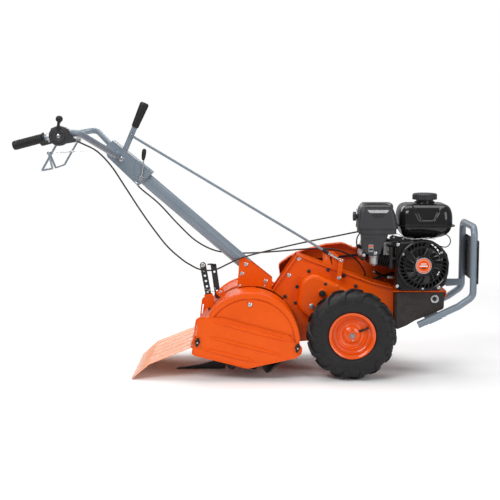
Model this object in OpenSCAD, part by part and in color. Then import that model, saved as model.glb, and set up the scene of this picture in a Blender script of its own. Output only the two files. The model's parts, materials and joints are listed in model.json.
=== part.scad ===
// Rear-tine walk-behind tiller: petrol engine in front, two driven wheels in the middle,
// tines under a hood behind them, and a column with adjustable handlebars.
// +X points forwards, +Z up. X = 0 is the middle of the length, Y = 0 the middle plane, Z = 0 the ground.

/* [Wheels] */
// Outer radius of the tyres
tyre_r = 169; // [160:1:172]
// Width of one tyre
tyre_w = 127; // [120:1:127]
// Distance from the middle plane to the middle of a wheel
wheel_y = 190; // [188:1:192]
// Radius of the wheel axle
axle_r = 10; // [9:0.5:12]
// Place of the axle along the machine
axle_x = 378; // [376:1:380]

/* [Tines and hood] */
// Outer radius of the tines
tine_r = 142; // [130:1:142]
// Outer radius of the hood
hood_r = 183; // [180:1:185]
// Half the width of the hood
hood_half = 240; // [236:1:242]
// Thickness of the sheet metal
sheet = 3; // [2:0.5:3]
// How far the flap slopes down from its hinge, in degrees
flap_slope = 22; // [18:1:24]

/* [Column and handlebars] */
// Slope of the column, in degrees
column_slope = 40.6; // [40:0.1:41]
// Outer radius of the column
column_r = 25; // [22:0.5:25]
// Radius of the handle tubes
handle_r = 12; // [11:0.5:12.5]
// Half the distance between the grips
grip_y = 262; // [250:1:270]

/* [Engine] */
// Place of the crankshaft along the machine
crank_x = 647; // [645:1:650]
// Height of the crankshaft
crank_z = 422; // [420:1:425]
// Slope of the cylinder, in degrees
cylinder_slope = 14; // [10:1:16]

/* [Belt drive] */
// Pitch radius of the engine pulley
engine_pulley_r = 36; // [32:1:38]
// Pitch radius of the gearbox pulley
input_pulley_r = 72; // [66:1:74]

/* [Hidden] */
$fn = 48;

orange = [0.93, 0.33, 0.04];
steel_grey = [0.45, 0.51, 0.57];
black = [0.07, 0.07, 0.07];
charcoal = [0.17, 0.17, 0.18];
silver = [0.75, 0.75, 0.77];

run_fit = 0.05;                       // radial clearance of a turning fit
gap = 0.4;                            // clearance between parts that only pass each other
wheel_z = tyre_r;
tine_z = tine_r;
tine_at = [0, tine_z];                // places in the side view are [x, z]
axle_at = [axle_x, wheel_z];
crank_at = [crank_x, crank_z];
input_at = [240, 338];
input_r = 10;
crank_r = 12.5;
tine_shaft_r = 12;
pivot_at = [-494, 815];               // bolt on which the handlebars and gear lever turn
flap_at = [-215, 133];                // hinge pin of the rear flap
selector_at = [337, 364];
selector_end = [345, 429];
stake_top = [-184, 407];
stake_tilt = 10.3;
stake_y = -34;
stake_pitch = 21;
throttle_at = [-688, 907];
bail_at = [-700, 880];
case_half = 40;                       // half the width of the middle gearbox casting
plate_y = case_half + sheet;          // outer face of a frame side plate
cover_right_y = 98;
cover_left_y = 60;
belt_y = [88, 101];
belt_cover_y = [66, 122];
engine_z = 317;                       // foot of the engine
blower_y = [-148, -76];
hinge_pin_r = 4;
pivot_pin_r = 6;

// ---------- shapes ----------
// Side-view outline pushed out sideways, from y0 to y1
module across(y0, y1) {
    translate([0, y1, 0]) rotate([90, 0, 0]) linear_extrude(y1 - y0) children();
}
module at(p) translate(p) children();
// Round bar along Y at a place in the side view
module y_bar(p, y0, y1, r) across(y0, y1) at(p) circle(r);
module both_sides() {
    children();
    mirror([0, 1, 0]) children();
}
// Round bar between two points
module rod(a, b, r) {
    d = b - a;
    translate(a) rotate([0, acos(d.z / norm(d)), atan2(d.y, d.x)]) cylinder(h = norm(d), r = r);
}
function unit(v) = v / norm(v);
// Outline stretched round discs, each given as [x, z, radius], with a corner every 360 / n degrees
function wrapped(discs, n = 60) = [
    for (k = [0 : n - 1])
        let (
            d = [cos(360 * k / n), sin(360 * k / n)],
            reach = [for (p = discs) p.x * d.x + p.y * d.y + p.z],
            p = discs[search(max(reach), reach)[0]]
        )
        [p.x, p.y] + p.z * d
];
function disc(p, r) = [p.x, p.y, r];
module stadium(a, b, r) polygon(wrapped([disc(a, r), disc(b, r)], 36));
module rounded(size, r) {
    translate([r, 0]) square([size.x - 2 * r, size.y]);
    translate([0, r]) square([size.x, size.y - 2 * r]);
    for (x = [r, size.x - r], y = [r, size.y - r]) translate([x, y]) circle(r);
}
// Hexagon head whose shank side faces +Y, with its outer face at y
module hex_head(p, y, r, h) {
    across(y, y + h) at(p) circle(r, $fn = 6);
    across(y + h, y + h + 1.5) at(p) circle(r * 1.25);
}

// Points along a path whose corners are bent to one radius
function arc_points(a, v, b, bend, n) =
    let (
        p = unit(v - a), q = unit(b - v), turn = acos(p * q), m = unit(q - p * (p * q)),
        c = v - p * bend * tan(turn / 2) + m * bend
    )
    [for (k = [0 : n]) c + bend * (sin(turn * k / n) * p - cos(turn * k / n) * m)];
function bent_path(p, bend, n) = [
    p[0], for (i = [1 : len(p) - 2]) each arc_points(p[i - 1], p[i], p[i + 1], bend, n),
    p[len(p) - 1]
];
// Points along a smooth curve through the points p
function curve_at(p, i, t) =
    let (
        a = p[max(i - 1, 0)], b = p[i], c = p[i + 1], d = p[min(i + 2, len(p) - 1)]
    )
    0.5 * (2 * b + (c - a) * t + (2 * a - 5 * b + 4 * c - d) * t * t
        + (3 * b - a - 3 * c + d) * t * t * t);
function smooth_path(p, n) = [
    for (i = [0 : len(p) - 2], k = [0 : n - 1]) curve_at(p, i, k / n), p[len(p) - 1]
];
function tangent(q, i) = i == 0 ? unit(q[1] - q[0])
    : i == len(q) - 1 ? unit(q[i] - q[i - 1])
    : unit(unit(q[i + 1] - q[i]) + unit(q[i] - q[i - 1]));
// A round bar swept along the points q; side is a direction that the path never runs along
function ring(q, i, r, sides, side) =
    let (t = tangent(q, i), u = unit(cross(t, side)), v = cross(t, u))
    [for (k = [0 : sides - 1]) q[i] + r * (cos(360 * k / sides) * u + sin(360 * k / sides) * v)];
module swept_bar(q, r, sides, side) {
    last = len(q) - 1;
    points = [for (i = [0 : last]) each ring(q, i, r, sides, side)];
    walls = [
        for (i = [0 : last - 1], k = [0 : sides - 1])
            [i * sides + k, (i + 1) * sides + k, (i + 1) * sides + (k + 1) % sides,
                i * sides + (k + 1) % sides]
    ];
    start = [for (k = [0 : sides - 1]) k];
    end = [for (k = [sides - 1 : -1 : 0]) last * sides + k];
    polyhedron(points, [for (w = walls) w, start, end], convexity = 4);
}
function longer(p, d) = [
    p[0] + d * unit(p[0] - p[1]), for (i = [1 : len(p) - 2]) p[i],
    p[len(p) - 1] + d * unit(p[len(p) - 1] - p[len(p) - 2])
];
module bent_tube(p, r, wall, bend, sides, side, n = 5) difference() {
    swept_bar(bent_path(p, bend, n), r, sides, side);
    swept_bar(bent_path(longer(p, 2), bend, n), r - wall, sides, side);
}

// ---------- gearbox and frame ----------
dome_a = [243, 322];
dome_b = [236, 270];
dome_c = [350, 271];
dome_r = 56;
module dome_outline(grow)
    polygon(wrapped([for (p = [dome_a, dome_b, dome_c, axle_at]) disc(p, dome_r + grow)]));
module case_outline(grow) {
    dome_outline(10 + grow);
    polygon(wrapped([disc(tine_at, 45 + grow), disc(dome_b, 45 + grow), disc(axle_at, 47 + grow)]));
}
module gearbox_case() color(orange) difference() {
    across(-case_half, case_half) case_outline(0);
    across(-case_half + 5, case_half - 5) case_outline(-5);
    across(-case_half - 1, case_half + 1) dome_outline(-5);
    y_bar(tine_at, -case_half - 1, case_half + 1, tine_shaft_r + run_fit);
}
module gearbox_cover(depth) difference() {
    union() {
        across(-plate_y - 3, -plate_y) dome_outline(14);
        across(-depth, -plate_y) dome_outline(0);
        y_bar([273, 307], -depth - 6, -depth, 17);
        y_bar(axle_at, -depth - 8, -depth, 24);
    }
    across(-depth + 4, -plate_y + 1) dome_outline(-5);
    y_bar(axle_at, -depth - 9, -plate_y + 1, axle_r + run_fit);
}
module gearbox_cover_right() color(orange) gearbox_cover(cover_right_y);
module gearbox_cover_left() color(orange) difference() {
    mirror([0, 1, 0]) gearbox_cover(cover_left_y);
    y_bar(input_at, plate_y - 1, cover_left_y + 9, input_r + run_fit);
}
flange_bolts = [[224, 385], [179, 325], [173, 262]];
plate_bolts = [[298, 391], [359, 367], [405, 328], [133, 287]];
module gearbox_bolts() color(black) {
    for (p = flange_bolts) hex_head(p, -plate_y - 9.5, 5, 5);
    for (p = plate_bolts) hex_head(p, -plate_y - 6.5, 5, 5);
    hex_head([273, 307], -cover_right_y - 14.5, 11, 7);
    hex_head([233, 257], -cover_right_y - 9.5, 9, 8);
    hex_head([285, 343], -cover_right_y - 6.5, 5, 5);
}
plate_outline = [
    [178, 450], [82, 289], [150, 240], [420, 190], [550, 180], [550, 322], [466, 344]
];
module frame_plates() {
    color(orange) both_sides() side_plate();
    idler_mount();
}
module side_plate() difference() {
    union() {
        across(-plate_y, -case_half) difference() {
            polygon(plate_outline);
            dome_outline(0);
        }
        across(-plate_y - 12, -plate_y + 0.5)
            polygon([[178, 450], [466, 344], [548, 323], [548, 320], [465, 341], [177, 447]]);
    }
    y_bar(tine_at, -100, 0, hood_r + gap);
    translate([540, -100, engine_z - 6]) cube([60, 100, 20]);
}
// Stop for the clutch cable and pivot pin for the idler arm, on the left side plate
module idler_mount() color(orange) {
    translate([444, plate_y, 322]) cube([12, 23, 8]);
    y_bar(idler_pin, plate_y, 86, hinge_pin_r);
}
module engine_plate() color(orange) {
    difference() {
        translate([543, -96, engine_z - 5]) cube([202, 158, 5]);
        for (x = [575, 717], y = [-40, 40]) translate([x, y, 300]) cylinder(h = 30, r = 5);
    }
    translate([741, -96, engine_z - 25]) cube([4, 158, 20]);
}
weight_outline = [
    [553, 310], [739, 310], [737, 251], [732, 246], [627, 201], [596, 182], [562, 168], [553, 172]
];
module counterweight() color([0.13, 0.11, 0.10]) difference() {
    union() {
        across(-92, 60) polygon(weight_outline);
        y_bar([701, 286], -97, -92, 17);
        across(-96, -92)
            polygon([[556, 309], [572, 309], [600, 196], [586, 184], [564, 176]]);
    }
    across(-80, 48) polygon([[566, 300], [727, 300], [725, 262], [622, 216], [566, 190]]);
    y_bar([701, 286], -98, -70, 6);
    translate([740, -99, 290]) cube([8, 180, 23]);
}

// ---------- bumper ----------
bumper_r = 13;
bumper_leg_y = 125;
bumper_x = 841;
module bumper_tube() color(steel_grey) {
    leg = [[635, -bumper_leg_y, 190], [787, -bumper_leg_y, 262], [bumper_x, -bumper_leg_y, 300],
        [bumper_x, -bumper_leg_y, 562], [bumper_x, bumper_leg_y, 562],
        [bumper_x, bumper_leg_y, 300], [787, bumper_leg_y, 262], [635, bumper_leg_y, 190]];
    bent_tube(leg, bumper_r, 2, 34, 16, [2, 0, -1]);
    translate([700, 0, 214]) rotate([0, -25.3, 0])
        translate([-28, -bumper_leg_y + 11.5, -13]) cube([56, 2 * bumper_leg_y - 23, 5]);
    across(86, 90) polygon([[748, 312], [772, 312], [772, 308], [832, 312], [832, 338],
        [772, 338], [748, 316]]);
    translate([824, 86, 312]) cube([5, 32, 24]);
}
module bumper_plate() color(charcoal) difference() {
    translate([854.2, -138, 347]) cube([4, 276, 165]);
    for (y = [-60, 60], z = [380, 480]) translate([850, y, z]) rotate([0, 90, 0])
        cylinder(h = 12, r = 5.5);
    for (y = [-bumper_leg_y, bumper_leg_y], z = [365, 494]) translate([850, y, z])
        rotate([0, 90, 0]) cylinder(h = 12, r = 3);
}

// ---------- belt drive ----------
// Outline of the belt laid round both pulleys, grown by g
module belt_outline(g)
    polygon(wrapped([disc(input_at, input_pulley_r + g), disc(crank_at, engine_pulley_r + g)], 90));
module drive_belt() color(black) across(belt_y[0], belt_y[1]) difference() {
    belt_outline(4);
    belt_outline(-4);
}
module pulley(r) {
    rotate_extrude() polygon([[0, -3], [r + 8, -3], [r + 8, -gap], [r - 4 - gap, -gap],
        [r - 4 - gap, 13 + gap], [r + 8, 13 + gap], [r + 8, 16], [0, 16]]);
}
module pulley_at(p, r) translate([p.x, belt_y[1], p.y]) rotate([90, 0, 0]) pulley(r);
belt_cover_outline = [
    [108, 397], [120, 312], [150, 262], [215, 238], [300, 246], [430, 252], [520, 262], [690, 340],
    [726, 392], [730, 440], [700, 482], [647, 500], [560, 494], [425, 464], [405, 462],
    [372, 478], [356, 482], [295, 476], [201, 452], [153, 429]
];
belt_cover_inner = [
    [112, 396], [124, 314], [153, 266], [216, 242], [299, 250], [429, 256], [519, 266], [688, 344],
    [722, 394], [726, 439], [698, 478], [647, 496], [560, 490], [426, 460], [404, 458],
    [371, 474], [356, 478], [295, 472], [203, 448], [156, 426]
];
module belt_cover() color(orange) difference() {
    across(belt_cover_y[0], belt_cover_y[1]) polygon(belt_cover_outline);
    across(belt_cover_y[0] - 1, belt_cover_y[1] - 3) polygon(belt_cover_inner);
    for (k = [0 : 5]) translate([200 + 22 * k, 110, 330 + 2 * k])
        rotate([0, -20, 0]) cube([8, 20, 60]);
}
idler_at = [450, 291];
idler_r = 20;
idler_pin = [502, 286];
module idler_arm() color(silver) {
    difference() {
        across(78, 83) stadium(idler_pin, idler_at, 10);
        y_bar(idler_pin, 70, 90, hinge_pin_r + run_fit);
    }
    y_bar(idler_at, 83, 106, 6);
    y_bar(idler_at, 85, 104, idler_r);
    rod([450, 80, 296], [450, 60, 296], 3);
    rod([450, 60, 293], [450, 60, 312], 3);
}

// ---------- hood, flap and depth stake ----------
hood_end = 150;                       // angle at which the round top of the hood turns straight
hood_tip = [-215, 135];
function on_hood(r, angle) = tine_at + r * [cos(angle), sin(angle)];
function hood_arc(r, from, to, n) = [for (k = [0 : n]) on_hood(r, from + (to - from) * k / n)];
hood_side = [
    each hood_arc(hood_r, -12, hood_end, 54), hood_tip + [-2, 12], hood_tip + [-8, -12], [-150, 104]
];
hood_top = [
    each hood_arc(hood_r, -12, hood_end, 54), hood_tip + [-2, 12], hood_tip + [1, 10],
    each hood_arc(hood_r - sheet, hood_end, -12, 54)
];
module hood() color(orange) {
    difference() {
        union() {
            across(-hood_half, hood_half) polygon(hood_top);
            both_sides() {
                across(-hood_half, -hood_half + sheet) polygon(hood_side);
                across(-hood_half - 2.5, -hood_half + 1)
                    polygon([
                        each hood_arc(hood_r - 1, -10, 160, 50),
                        each hood_arc(hood_r - 20, 160, -10, 50)
                    ]);
            }
        }
        across(-case_half - gap, case_half + gap) case_outline(gap);
        y_bar(tine_at, -hood_half - 5, hood_half + 5, 20);
        translate([stake_top.x, stake_y, stake_top.y]) rotate([0, -stake_tilt, 0])
            translate([-13, -5.5, -420]) cube([26, 11, 430]);
        both_sides() y_bar([-195, 148], -hood_half - 10, -hood_half + 10, 5);
    }
    y_bar(flap_at, -hood_half + sheet - 1, hood_half - sheet + 1, hinge_pin_r);
}
shield_outline = [
    [-187, 242], [-201, 232], [-217, 103], [-211, 98], [-15, 49], [-3, 49], [171, 88], [189, 104],
    [193, 123], [186, 136], [170, 142], [150, 168], [-100, 236]
];
module side_shields() color(orange) both_sides() difference() {
    across(-hood_half - 6, -hood_half - 3) polygon(shield_outline);
    across(-hood_half - 7, -hood_half) {
        at([-195, 148]) circle(4);
        at([175, 127]) circle(4);
    }
    across(-hood_half - 7, -hood_half - 2) stadium([-198, 208], [-206, 160], 3);
}
module wing_knobs() color(black) both_sides() for (p = [[-195, 148], [175, 127]]) {
    y_bar(p, -hood_half - 22, -hood_half - 6, 8);
    y_bar(p, -hood_half - 6, -hood_half - 3, 3.5);
    across(-hood_half - 20, -hood_half - 10) at(p) rotate(-35) translate([-15, -3.5]) square([30, 7]);
}
flap_len = 178;
lip_len = 86;
lip_bend = 18;
knuckles = [-200, -70, 62, 192];      // where the hinge knuckles start
knuckle_len = 16;
module rear_flap() color(orange) {
    translate([flap_at.x, 0, flap_at.y]) rotate([0, -flap_slope, 0]) {
        difference() {
            union() {
                translate([-flap_len, -225, -9]) cube([flap_len - 1, 450, sheet]);
                translate([-flap_len, -225, -9]) rotate([0, -lip_bend, 0]) translate([-lip_len, 0, 0])
                    cube([lip_len, 450, sheet]);
                for (y = knuckles) translate([0, y, 0])
                    rotate([-90, 0, 0]) cylinder(h = knuckle_len, r = 9);
                for (y = [-180, -108, -36, 36, 108, 180]) translate([-flap_len + 8, y - 5, -6.2])
                    cube([flap_len - 40, 10, 3]);
            }
            translate([0, -230, 0]) rotate([-90, 0, 0]) cylinder(h = 460, r = hinge_pin_r + run_fit);
            for (k = [0 : len(knuckles)]) {
                from = k == 0 ? -hood_half - 10 : knuckles[k - 1] + knuckle_len + 0.3;
                to = k == len(knuckles) ? hood_half + 10 : knuckles[k] - 0.3;
                translate([-9.5, from, -9.5]) cube([19, to - from, 19]);
            }
        }
    }
}
module stake_frame() translate([stake_top.x, stake_y, stake_top.y]) rotate([0, -stake_tilt, 0])
    children();
stake_holes = 9;
module depth_stake() color(black) {
    stake_frame() difference() {
        union() {
            translate([-11.5, -4, -398]) cube([23, 8, 398]);
            translate([0, 4, 0]) rotate([90, 0, 0]) cylinder(h = 8, r = 11.5);
        }
        for (k = [0 : stake_holes]) translate([0, 5, -stake_pitch * k]) rotate([90, 0, 0])
            cylinder(h = 10, r = 4.5);
    }
    color(silver) stake_frame() {
        translate([0, 12, -stake_pitch * 5]) rotate([90, 0, 0]) cylinder(h = 24, r = 4.7);
        translate([0, 6, 0]) rotate([90, 0, 0]) cylinder(h = 12, r = 6);
    }
    across(stake_y - 6, stake_y + 6)
        polygon([[-124, 40], [-101, 36], [-96, 22], [-100, 3], [-203, 1], [-289, 0.3], [-289, 5],
            [-203, 16], [-150, 30]]);
}
module stake_bracket() difference() {
    bracket_pieces();
    y_bar(tine_at, -60, 0, hood_r + gap);
}
module bracket_pieces() {
    color(orange) {
        stake_frame() difference() {
            translate([-16, -10, -168]) cube([32, 20, 54]);
            translate([-11.5 - gap, -4 - gap, -170]) cube([23 + 2 * gap, 8 + 2 * gap, 60]);
            translate([0, 12, -stake_pitch * 6]) rotate([90, 0, 0]) cylinder(h = 24, r = 4.6);
        }
        across(stake_y - 8, stake_y - 4.2)
            polygon([[-112, 322], [-98, 296], [-118, 284], [-134, 300]]);
    }
    color(black) {
        translate([-144, stake_y - 4, 411]) rotate([0, -8, 0]) difference() {
            translate([-11, 0, -134]) cube([22, 8, 134]);
            for (z = [-30, -105]) translate([0, 9, z]) rotate([90, 0, 0]) cylinder(h = 10, r = 4.5);
        }
        translate([-166, stake_y - 4, 408]) cube([22, 8, 4]);
    }
}

// ---------- column and gear linkage ----------
module column_frame() translate([pivot_at.x, 0, pivot_at.y]) rotate([0, column_slope, 0]) children();
column_len = 632;
module column() color(steel_grey) column_frame() difference() {
    translate([-34, 0, 0]) rotate([0, 90, 0]) cylinder(h = column_len + 34, r = column_r);
    translate([-35, 0, 0]) rotate([0, 90, 0]) cylinder(h = column_len + 36, r = column_r - 3);
    translate([0, -30, 0]) rotate([-90, 0, 0]) cylinder(h = 60, r = pivot_pin_r + run_fit);
}
base_outline = [[-49, 421], [-40, 431], [-20, 436], [84, 353], [80, 280], [-57, 296]];
module column_base() color(orange) difference() {
    union() {
        both_sides() {
            across(-column_r - 4.2, -column_r - 0.2) polygon(base_outline);
            across(-column_r - 24, -column_r - 4) polygon([[-56, 330], [80, 330], [80, 280], [-56, 290]]);
        }
    }
    y_bar(tine_at, -60, 60, hood_r + gap);
    both_sides() difference() {
        across(-column_r - 25, -column_r - 4.2) at(tine_at) circle(hood_r + 60);
        y_bar(tine_at, -60, 60, hood_r + 4);
    }
}
module bolts() color(silver) {
    for (p = [[-18, 409], [-33, 373], [58, 344]]) hex_head(p, -column_r - 11, 6.5, 5.3);
    for (p = [[185, 434], [147, 369]]) hex_head(p, -plate_y - 6.5, 6.5, 5);
    hex_head([-1, 286], -hood_half - 6.5, 6, 5);
    for (a = [74, 102]) translate([on_hood(hood_r + 4.3, a).x, -40, on_hood(hood_r + 4.3, a).y])
        rotate([0, 90 - a, 0]) cylinder(h = 8, r = 7, $fn = 6);
    y_bar(pivot_at, -41, 41, pivot_pin_r);
    for (s = [-1, 1]) y_bar(pivot_at, s < 0 ? -43 : 35.5, s < 0 ? -35.5 : 43, 8);
    hex_head([571, 466], blower_y[0] - 8, 5.5, 5);
    hex_head([715, 472], blower_y[0] - 8, 5.5, 5);
    hex_head([551, 343], blower_y[0] - 6.5, 5.5, 5);
}
module selector_bracket() color(orange) {
    across(-57, -54) polygon([[277, 462], [318, 462], [336, 448], [336, 395], [277, 417]]);
    translate([277, -55, 418]) cube([3, 12, 44]);
    translate([277, -55, 459]) cube([41, 12, 3]);
    translate([333, -55, 398]) cube([3, 12, 50]);
    y_bar(selector_at, -80, -plate_y, hinge_pin_r);
}
module selector_arm() color(orange) {
    difference() {
        across(-80, -59) stadium(selector_at, selector_end, 8);
        across(-75, -64) stadium(selector_end - [2, 16], selector_end + [2, 16], 12);
        y_bar(selector_at, -90, -50, hinge_pin_r + run_fit);
    }
    y_bar(selector_end, -77, -62, 3.5);
}
shift_top = [-452, 903];
module shift_rod() color(steel_grey) difference() {
    union() {
        rod([shift_top.x, -37, shift_top.y], [selector_end.x, -69.5, selector_end.y], 5);
        y_bar(shift_top, -43, -31, 8);
        y_bar(selector_end, -73.5, -65.5, 9);
    }
    y_bar(selector_end, -80, -60, 5.5);
    y_bar(shift_top, -50, -20, hinge_pin_r + run_fit);
}
lever_lean = 23.6;
module gear_lever() {
    translate([pivot_at.x, -28, pivot_at.y]) rotate([0, lever_lean, 0]) {
        color(steel_grey) difference() {
            union() {
                translate([-10.5, -2.5, 0]) cube([21, 5, 150]);
                translate([0, 2.5, 0]) rotate([90, 0, 0]) cylinder(h = 5, r = 13);
            }
            translate([0, 5, 0]) rotate([90, 0, 0]) cylinder(h = 10, r = pivot_pin_r + run_fit);
        }
        color(black) translate([0, 0, 132]) difference() {
            union() {
                cylinder(h = 92, r1 = 14, r2 = 18);
                translate([0, 0, 92]) cylinder(h = 8, r1 = 18, r2 = 12);
            }
            translate([-10.5, -2.5, -1]) cube([21, 5, 19]);
        }
    }
    color(silver) y_bar(shift_top, -46, -25.5, hinge_pin_r);
}

// ---------- handlebars ----------
lock_place = [105, -6];               // places on the channel are measured from its pivot
function from_channel(p) = pivot_at + [
    p.x * cos(column_slope) + p.y * sin(column_slope),
    p.y * cos(column_slope) - p.x * sin(column_slope)
];
lock_at = from_channel(lock_place);
channel_side = [[-69, 31.5], [-78, -4.7], [-45, -28.4], [105, -37], [116, -34], [125, 37.3]];
module handle_channel() color(steel_grey) column_frame() difference() {
    union() {
        for (s = [-1, 1]) across(s < 0 ? -35 : 32, s < 0 ? -32 : 35) polygon(channel_side);
        across(-34, 34) polygon([[-69, 28.5], [-69, 31.5], [125, 37.3], [125, 34.3]]);
    }
    across(-37, -22) polygon([[-38, 20], [-38, 45], [16, 45], [16, 20]]);
    y_bar([0, 0], -40, 40, pivot_pin_r + run_fit);
    across(-40, -30) translate([102, -29]) square(9, center = true);
    y_bar(lock_place, -40, -30, hinge_pin_r + run_fit);
}
handle_bend = [-627, -grip_y, 922];
grip_front = [-748, -grip_y, 899];
grip_end = [-856, -grip_y, 871];
handle_path = [[-509, -35.3, 829], [-509, -60, 829], handle_bend, grip_front, grip_end];
module handle_tubes() color(steel_grey) both_sides() {
    bent_tube(handle_path, handle_r, 2, 45, 16, [0, 0, 1]);
    difference() {
        across(-grip_y - 5, -grip_y + 5) {
            stadium([-704, 905], bail_at, 9);
        }
        y_bar(bail_at, -grip_y - 9, -grip_y + 9, hinge_pin_r + run_fit);
    }
}
grip_dir = unit(grip_front - grip_end);
housing_dir = unit(handle_bend - grip_front);
module grips() color(black) both_sides() difference() {
    union() {
        rod(grip_front - 6 * grip_dir, grip_end - 2 * grip_dir, 16);
        rod(grip_front - 6 * grip_dir, grip_front, 20);
    }
    rod(grip_front + 40 * grip_dir, grip_end - 1 * grip_dir, handle_r + run_fit);
}
module throttle_housing() color(black) difference() {
    union() {
        y_bar(throttle_at, -grip_y - 24, -grip_y - 8, 36);
        across(-grip_y - 24, -grip_y + 16)
            polygon([[-716, 936], [-664, 938], [-658, 894], [-690, 893], [-718, 900]]);
        across(-grip_y - 24, -grip_y - 13.5)
            polygon([[-680, 937], [-660, 938], [-638, 902], [-650, 880], [-680, 888]]);
    }
    rod(grip_front - 5 * housing_dir, handle_bend + 20 * housing_dir, handle_r + gap);
    y_bar(throttle_at, -grip_y - 40, -grip_y - 16, 3 + run_fit);
    across(-grip_y - 6, -grip_y + 6) stadium([-704, 905], bail_at, 10);
    y_bar(bail_at, -grip_y - 14, -grip_y + 20, 6);
}
module throttle_lever() {
    color(charcoal) {
        y_bar(throttle_at, -grip_y - 29, -grip_y - 24.4, 24);
        y_bar(throttle_at, -grip_y - 25, -grip_y - 18, 3);
        rod([throttle_at.x, -grip_y - 29, throttle_at.y + 18], [-685, -grip_y - 29, 958], 4);
    }
    color(black) translate([-684, -grip_y - 26, 967]) sphere(13);
}
bail_path = [
    [-700, -grip_y - 10, 880], [-700, -grip_y + 14, 880], [-757, -245, 782], [-757, -34, 779],
    [-775, -9, 836], [-775, 9, 836], [-757, 34, 779], [-757, 245, 782],
    [-700, grip_y - 14, 880], [-700, grip_y + 10, 880]
];
module bail() color(steel_grey) {
    swept_bar(bent_path(bail_path, 8, 3), hinge_pin_r, 12, [1, 0, -0.3]);
    both_sides() y_bar(bail_at, -grip_y - 11, -grip_y + 8, hinge_pin_r);
}
module pull_rod() color(silver) difference() {
    union() {
        rod([-768, 0, 837], [-640, 0, 846], 3);
        rod([-642, 0, 845.8], [-535, 0, 852], 1.5);
        y_bar([-775, 836], -2.5, 2.5, 9);
    }
    y_bar([-775, 836], -5, 5, hinge_pin_r + run_fit);
}
module lock_lever() {
    color(silver) {
        y_bar(lock_at, -42, -35.4, 9);
        y_bar(lock_at, -36, -30.5, hinge_pin_r);
        rod([lock_at.x, -39, lock_at.y + 3], [-407, -48, 818], 3);
    }
    color(black) {
        rod([-408, -48, 815], [-404, -49, 846], 8.5);
        translate([-404, -49, 846]) sphere(8.5);
    }
}
throttle_cable_path = [
    [-637, -282, 893], [-600, -272, 877], [-553, -258, 850], [-506, -234, 796], [-460, -199, 717],
    [-412, -163, 633], [-363, -127, 554], [-314, -92, 484], [-262, -56, 431], [-232, -36, 408],
    [-203, -22, 391], [-168, -19, 384], [-130, -22, 390],
    [-85, -35, 413], [-35, -40, 436], [45, -38, 458], [190, -34, 492], [340, -22, 521],
    [420, 1, 534], [475, 2, 540]
];
clutch_cable_path = [
    [-440, 0, 716], [-415, 2, 692], [-355, 14, 640], [-285, 28, 562], [-215, 38, 494],
    [-140, 42, 455], [-60, 44, 445], [20, 44, 446], [110, 44, 452], [200, 42, 460],
    [280, 48, 462], [350, 56, 452], [410, 60, 420], [445, 60, 375], [450, 60, 330.3]
];
module cable(p) color(black) swept_bar(smooth_path(p, 5), 3, 8, [0, 1, 0.001]);
module throttle_cable() cable(throttle_cable_path);
module clutch_cable() cable(clutch_cable_path);

// ---------- engine ----------
module crankcase() color(charcoal) {
    difference() {
        union() {
            y_bar(crank_at, -70, 64, 80);
            translate([566, -60, engine_z]) cube([160, 120, 80]);
        }
        y_bar(crank_at, -62, 56, 62);
        y_bar(crank_at, -80, 80, crank_r + run_fit);
        for (x = [575, 717], y = [-40, 40]) translate([x, y, 310]) cylinder(h = 30, r = 4.2);
    }
    color(silver) rod([560, 30, 352], [532, 30, 352], 9);
    color(black) rod([534, 30, 352], [480, 30, 375], 7);
}
module engine_frame() translate([crank_x, 0, crank_z]) rotate([0, cylinder_slope, 0]) children();
module cylinder_block() {
    difference() {
        union() {
            translate([-195, -38, -38]) cube([112, 76, 76]);
            for (k = [0 : 11]) translate([-190 + 9 * k, -54, -52]) cube([3, 108, 104]);
        }
        translate([-186, 0, 0]) rotate([0, 90, 0]) cylinder(h = 110, r = 34);
    }
    translate([-207, -50, -48]) cube([12, 100, 96]);
}
module cylinder_and_fins() color(charcoal) engine_frame() cylinder_block();
module valve_cover() color(silver) engine_frame() difference() {
    translate([-232, -24, -42]) cube([24.8, 72, 84]);
    translate([-228, -20, -38]) cube([21, 64, 76]);
}
blower_r = 99;
module blower_outline(grow) {
    at(crank_at) circle(blower_r + grow);
    polygon([
        [545 - grow, 337], [700, 330 - grow], [742 + grow, 345], [740 + grow, 430],
        [700, 510 + grow], [533 - grow, 508 + grow], [533 - grow, 493 - grow], [545 - grow, 491 - grow]
    ]);
}
module blower_housing() color(black) difference() {
    across(blower_y[0], blower_y[1]) blower_outline(0);
    across(blower_y[0] + 3, blower_y[1] + 1) blower_outline(-4);
    // room for the choke lever behind the upper corner
    across(blower_y[1] - 9, blower_y[1] + 1) polygon([[530, 465], [543, 465], [563, 513], [530, 513]]);
    y_bar(crank_at, blower_y[0] - 1, blower_y[0] + 4, 82);
}
module recoil_cover() color(black) difference() {
    union() {
        y_bar(crank_at, blower_y[0] - 8, blower_y[0], 96);
        y_bar(crank_at, blower_y[0] - 16, blower_y[0] - 8, 60);
        y_bar(crank_at, blower_y[0] - 18, blower_y[0] - 16, 27);
    }
    y_bar(crank_at, blower_y[0] - 13, blower_y[0] + 1, 56);
    for (a = [0 : 15 : 345]) across(blower_y[0] - 20, blower_y[0] + 1)
        at(crank_at) rotate(a) translate([33, -2.5]) square([20, 5]);
    for (a = [30 : 10 : 150]) across(blower_y[0] - 20, blower_y[0] + 1)
        at(crank_at) rotate(a) translate([72, -3]) square([16, 6]);
    for (p = [[571, 466], [715, 472]]) y_bar(p, blower_y[0] - 20, blower_y[0] + 1, 7.5);
}
pull_at = [530, -126, 446];
module recoil_handle() color(black) translate(pull_at) {
    translate([0, 0, -34]) cylinder(h = 68, r = 9);
    for (z = [-34, 34]) translate([0, 0, z]) sphere(9);
}
cleaner_y = [-136, -12];
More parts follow.
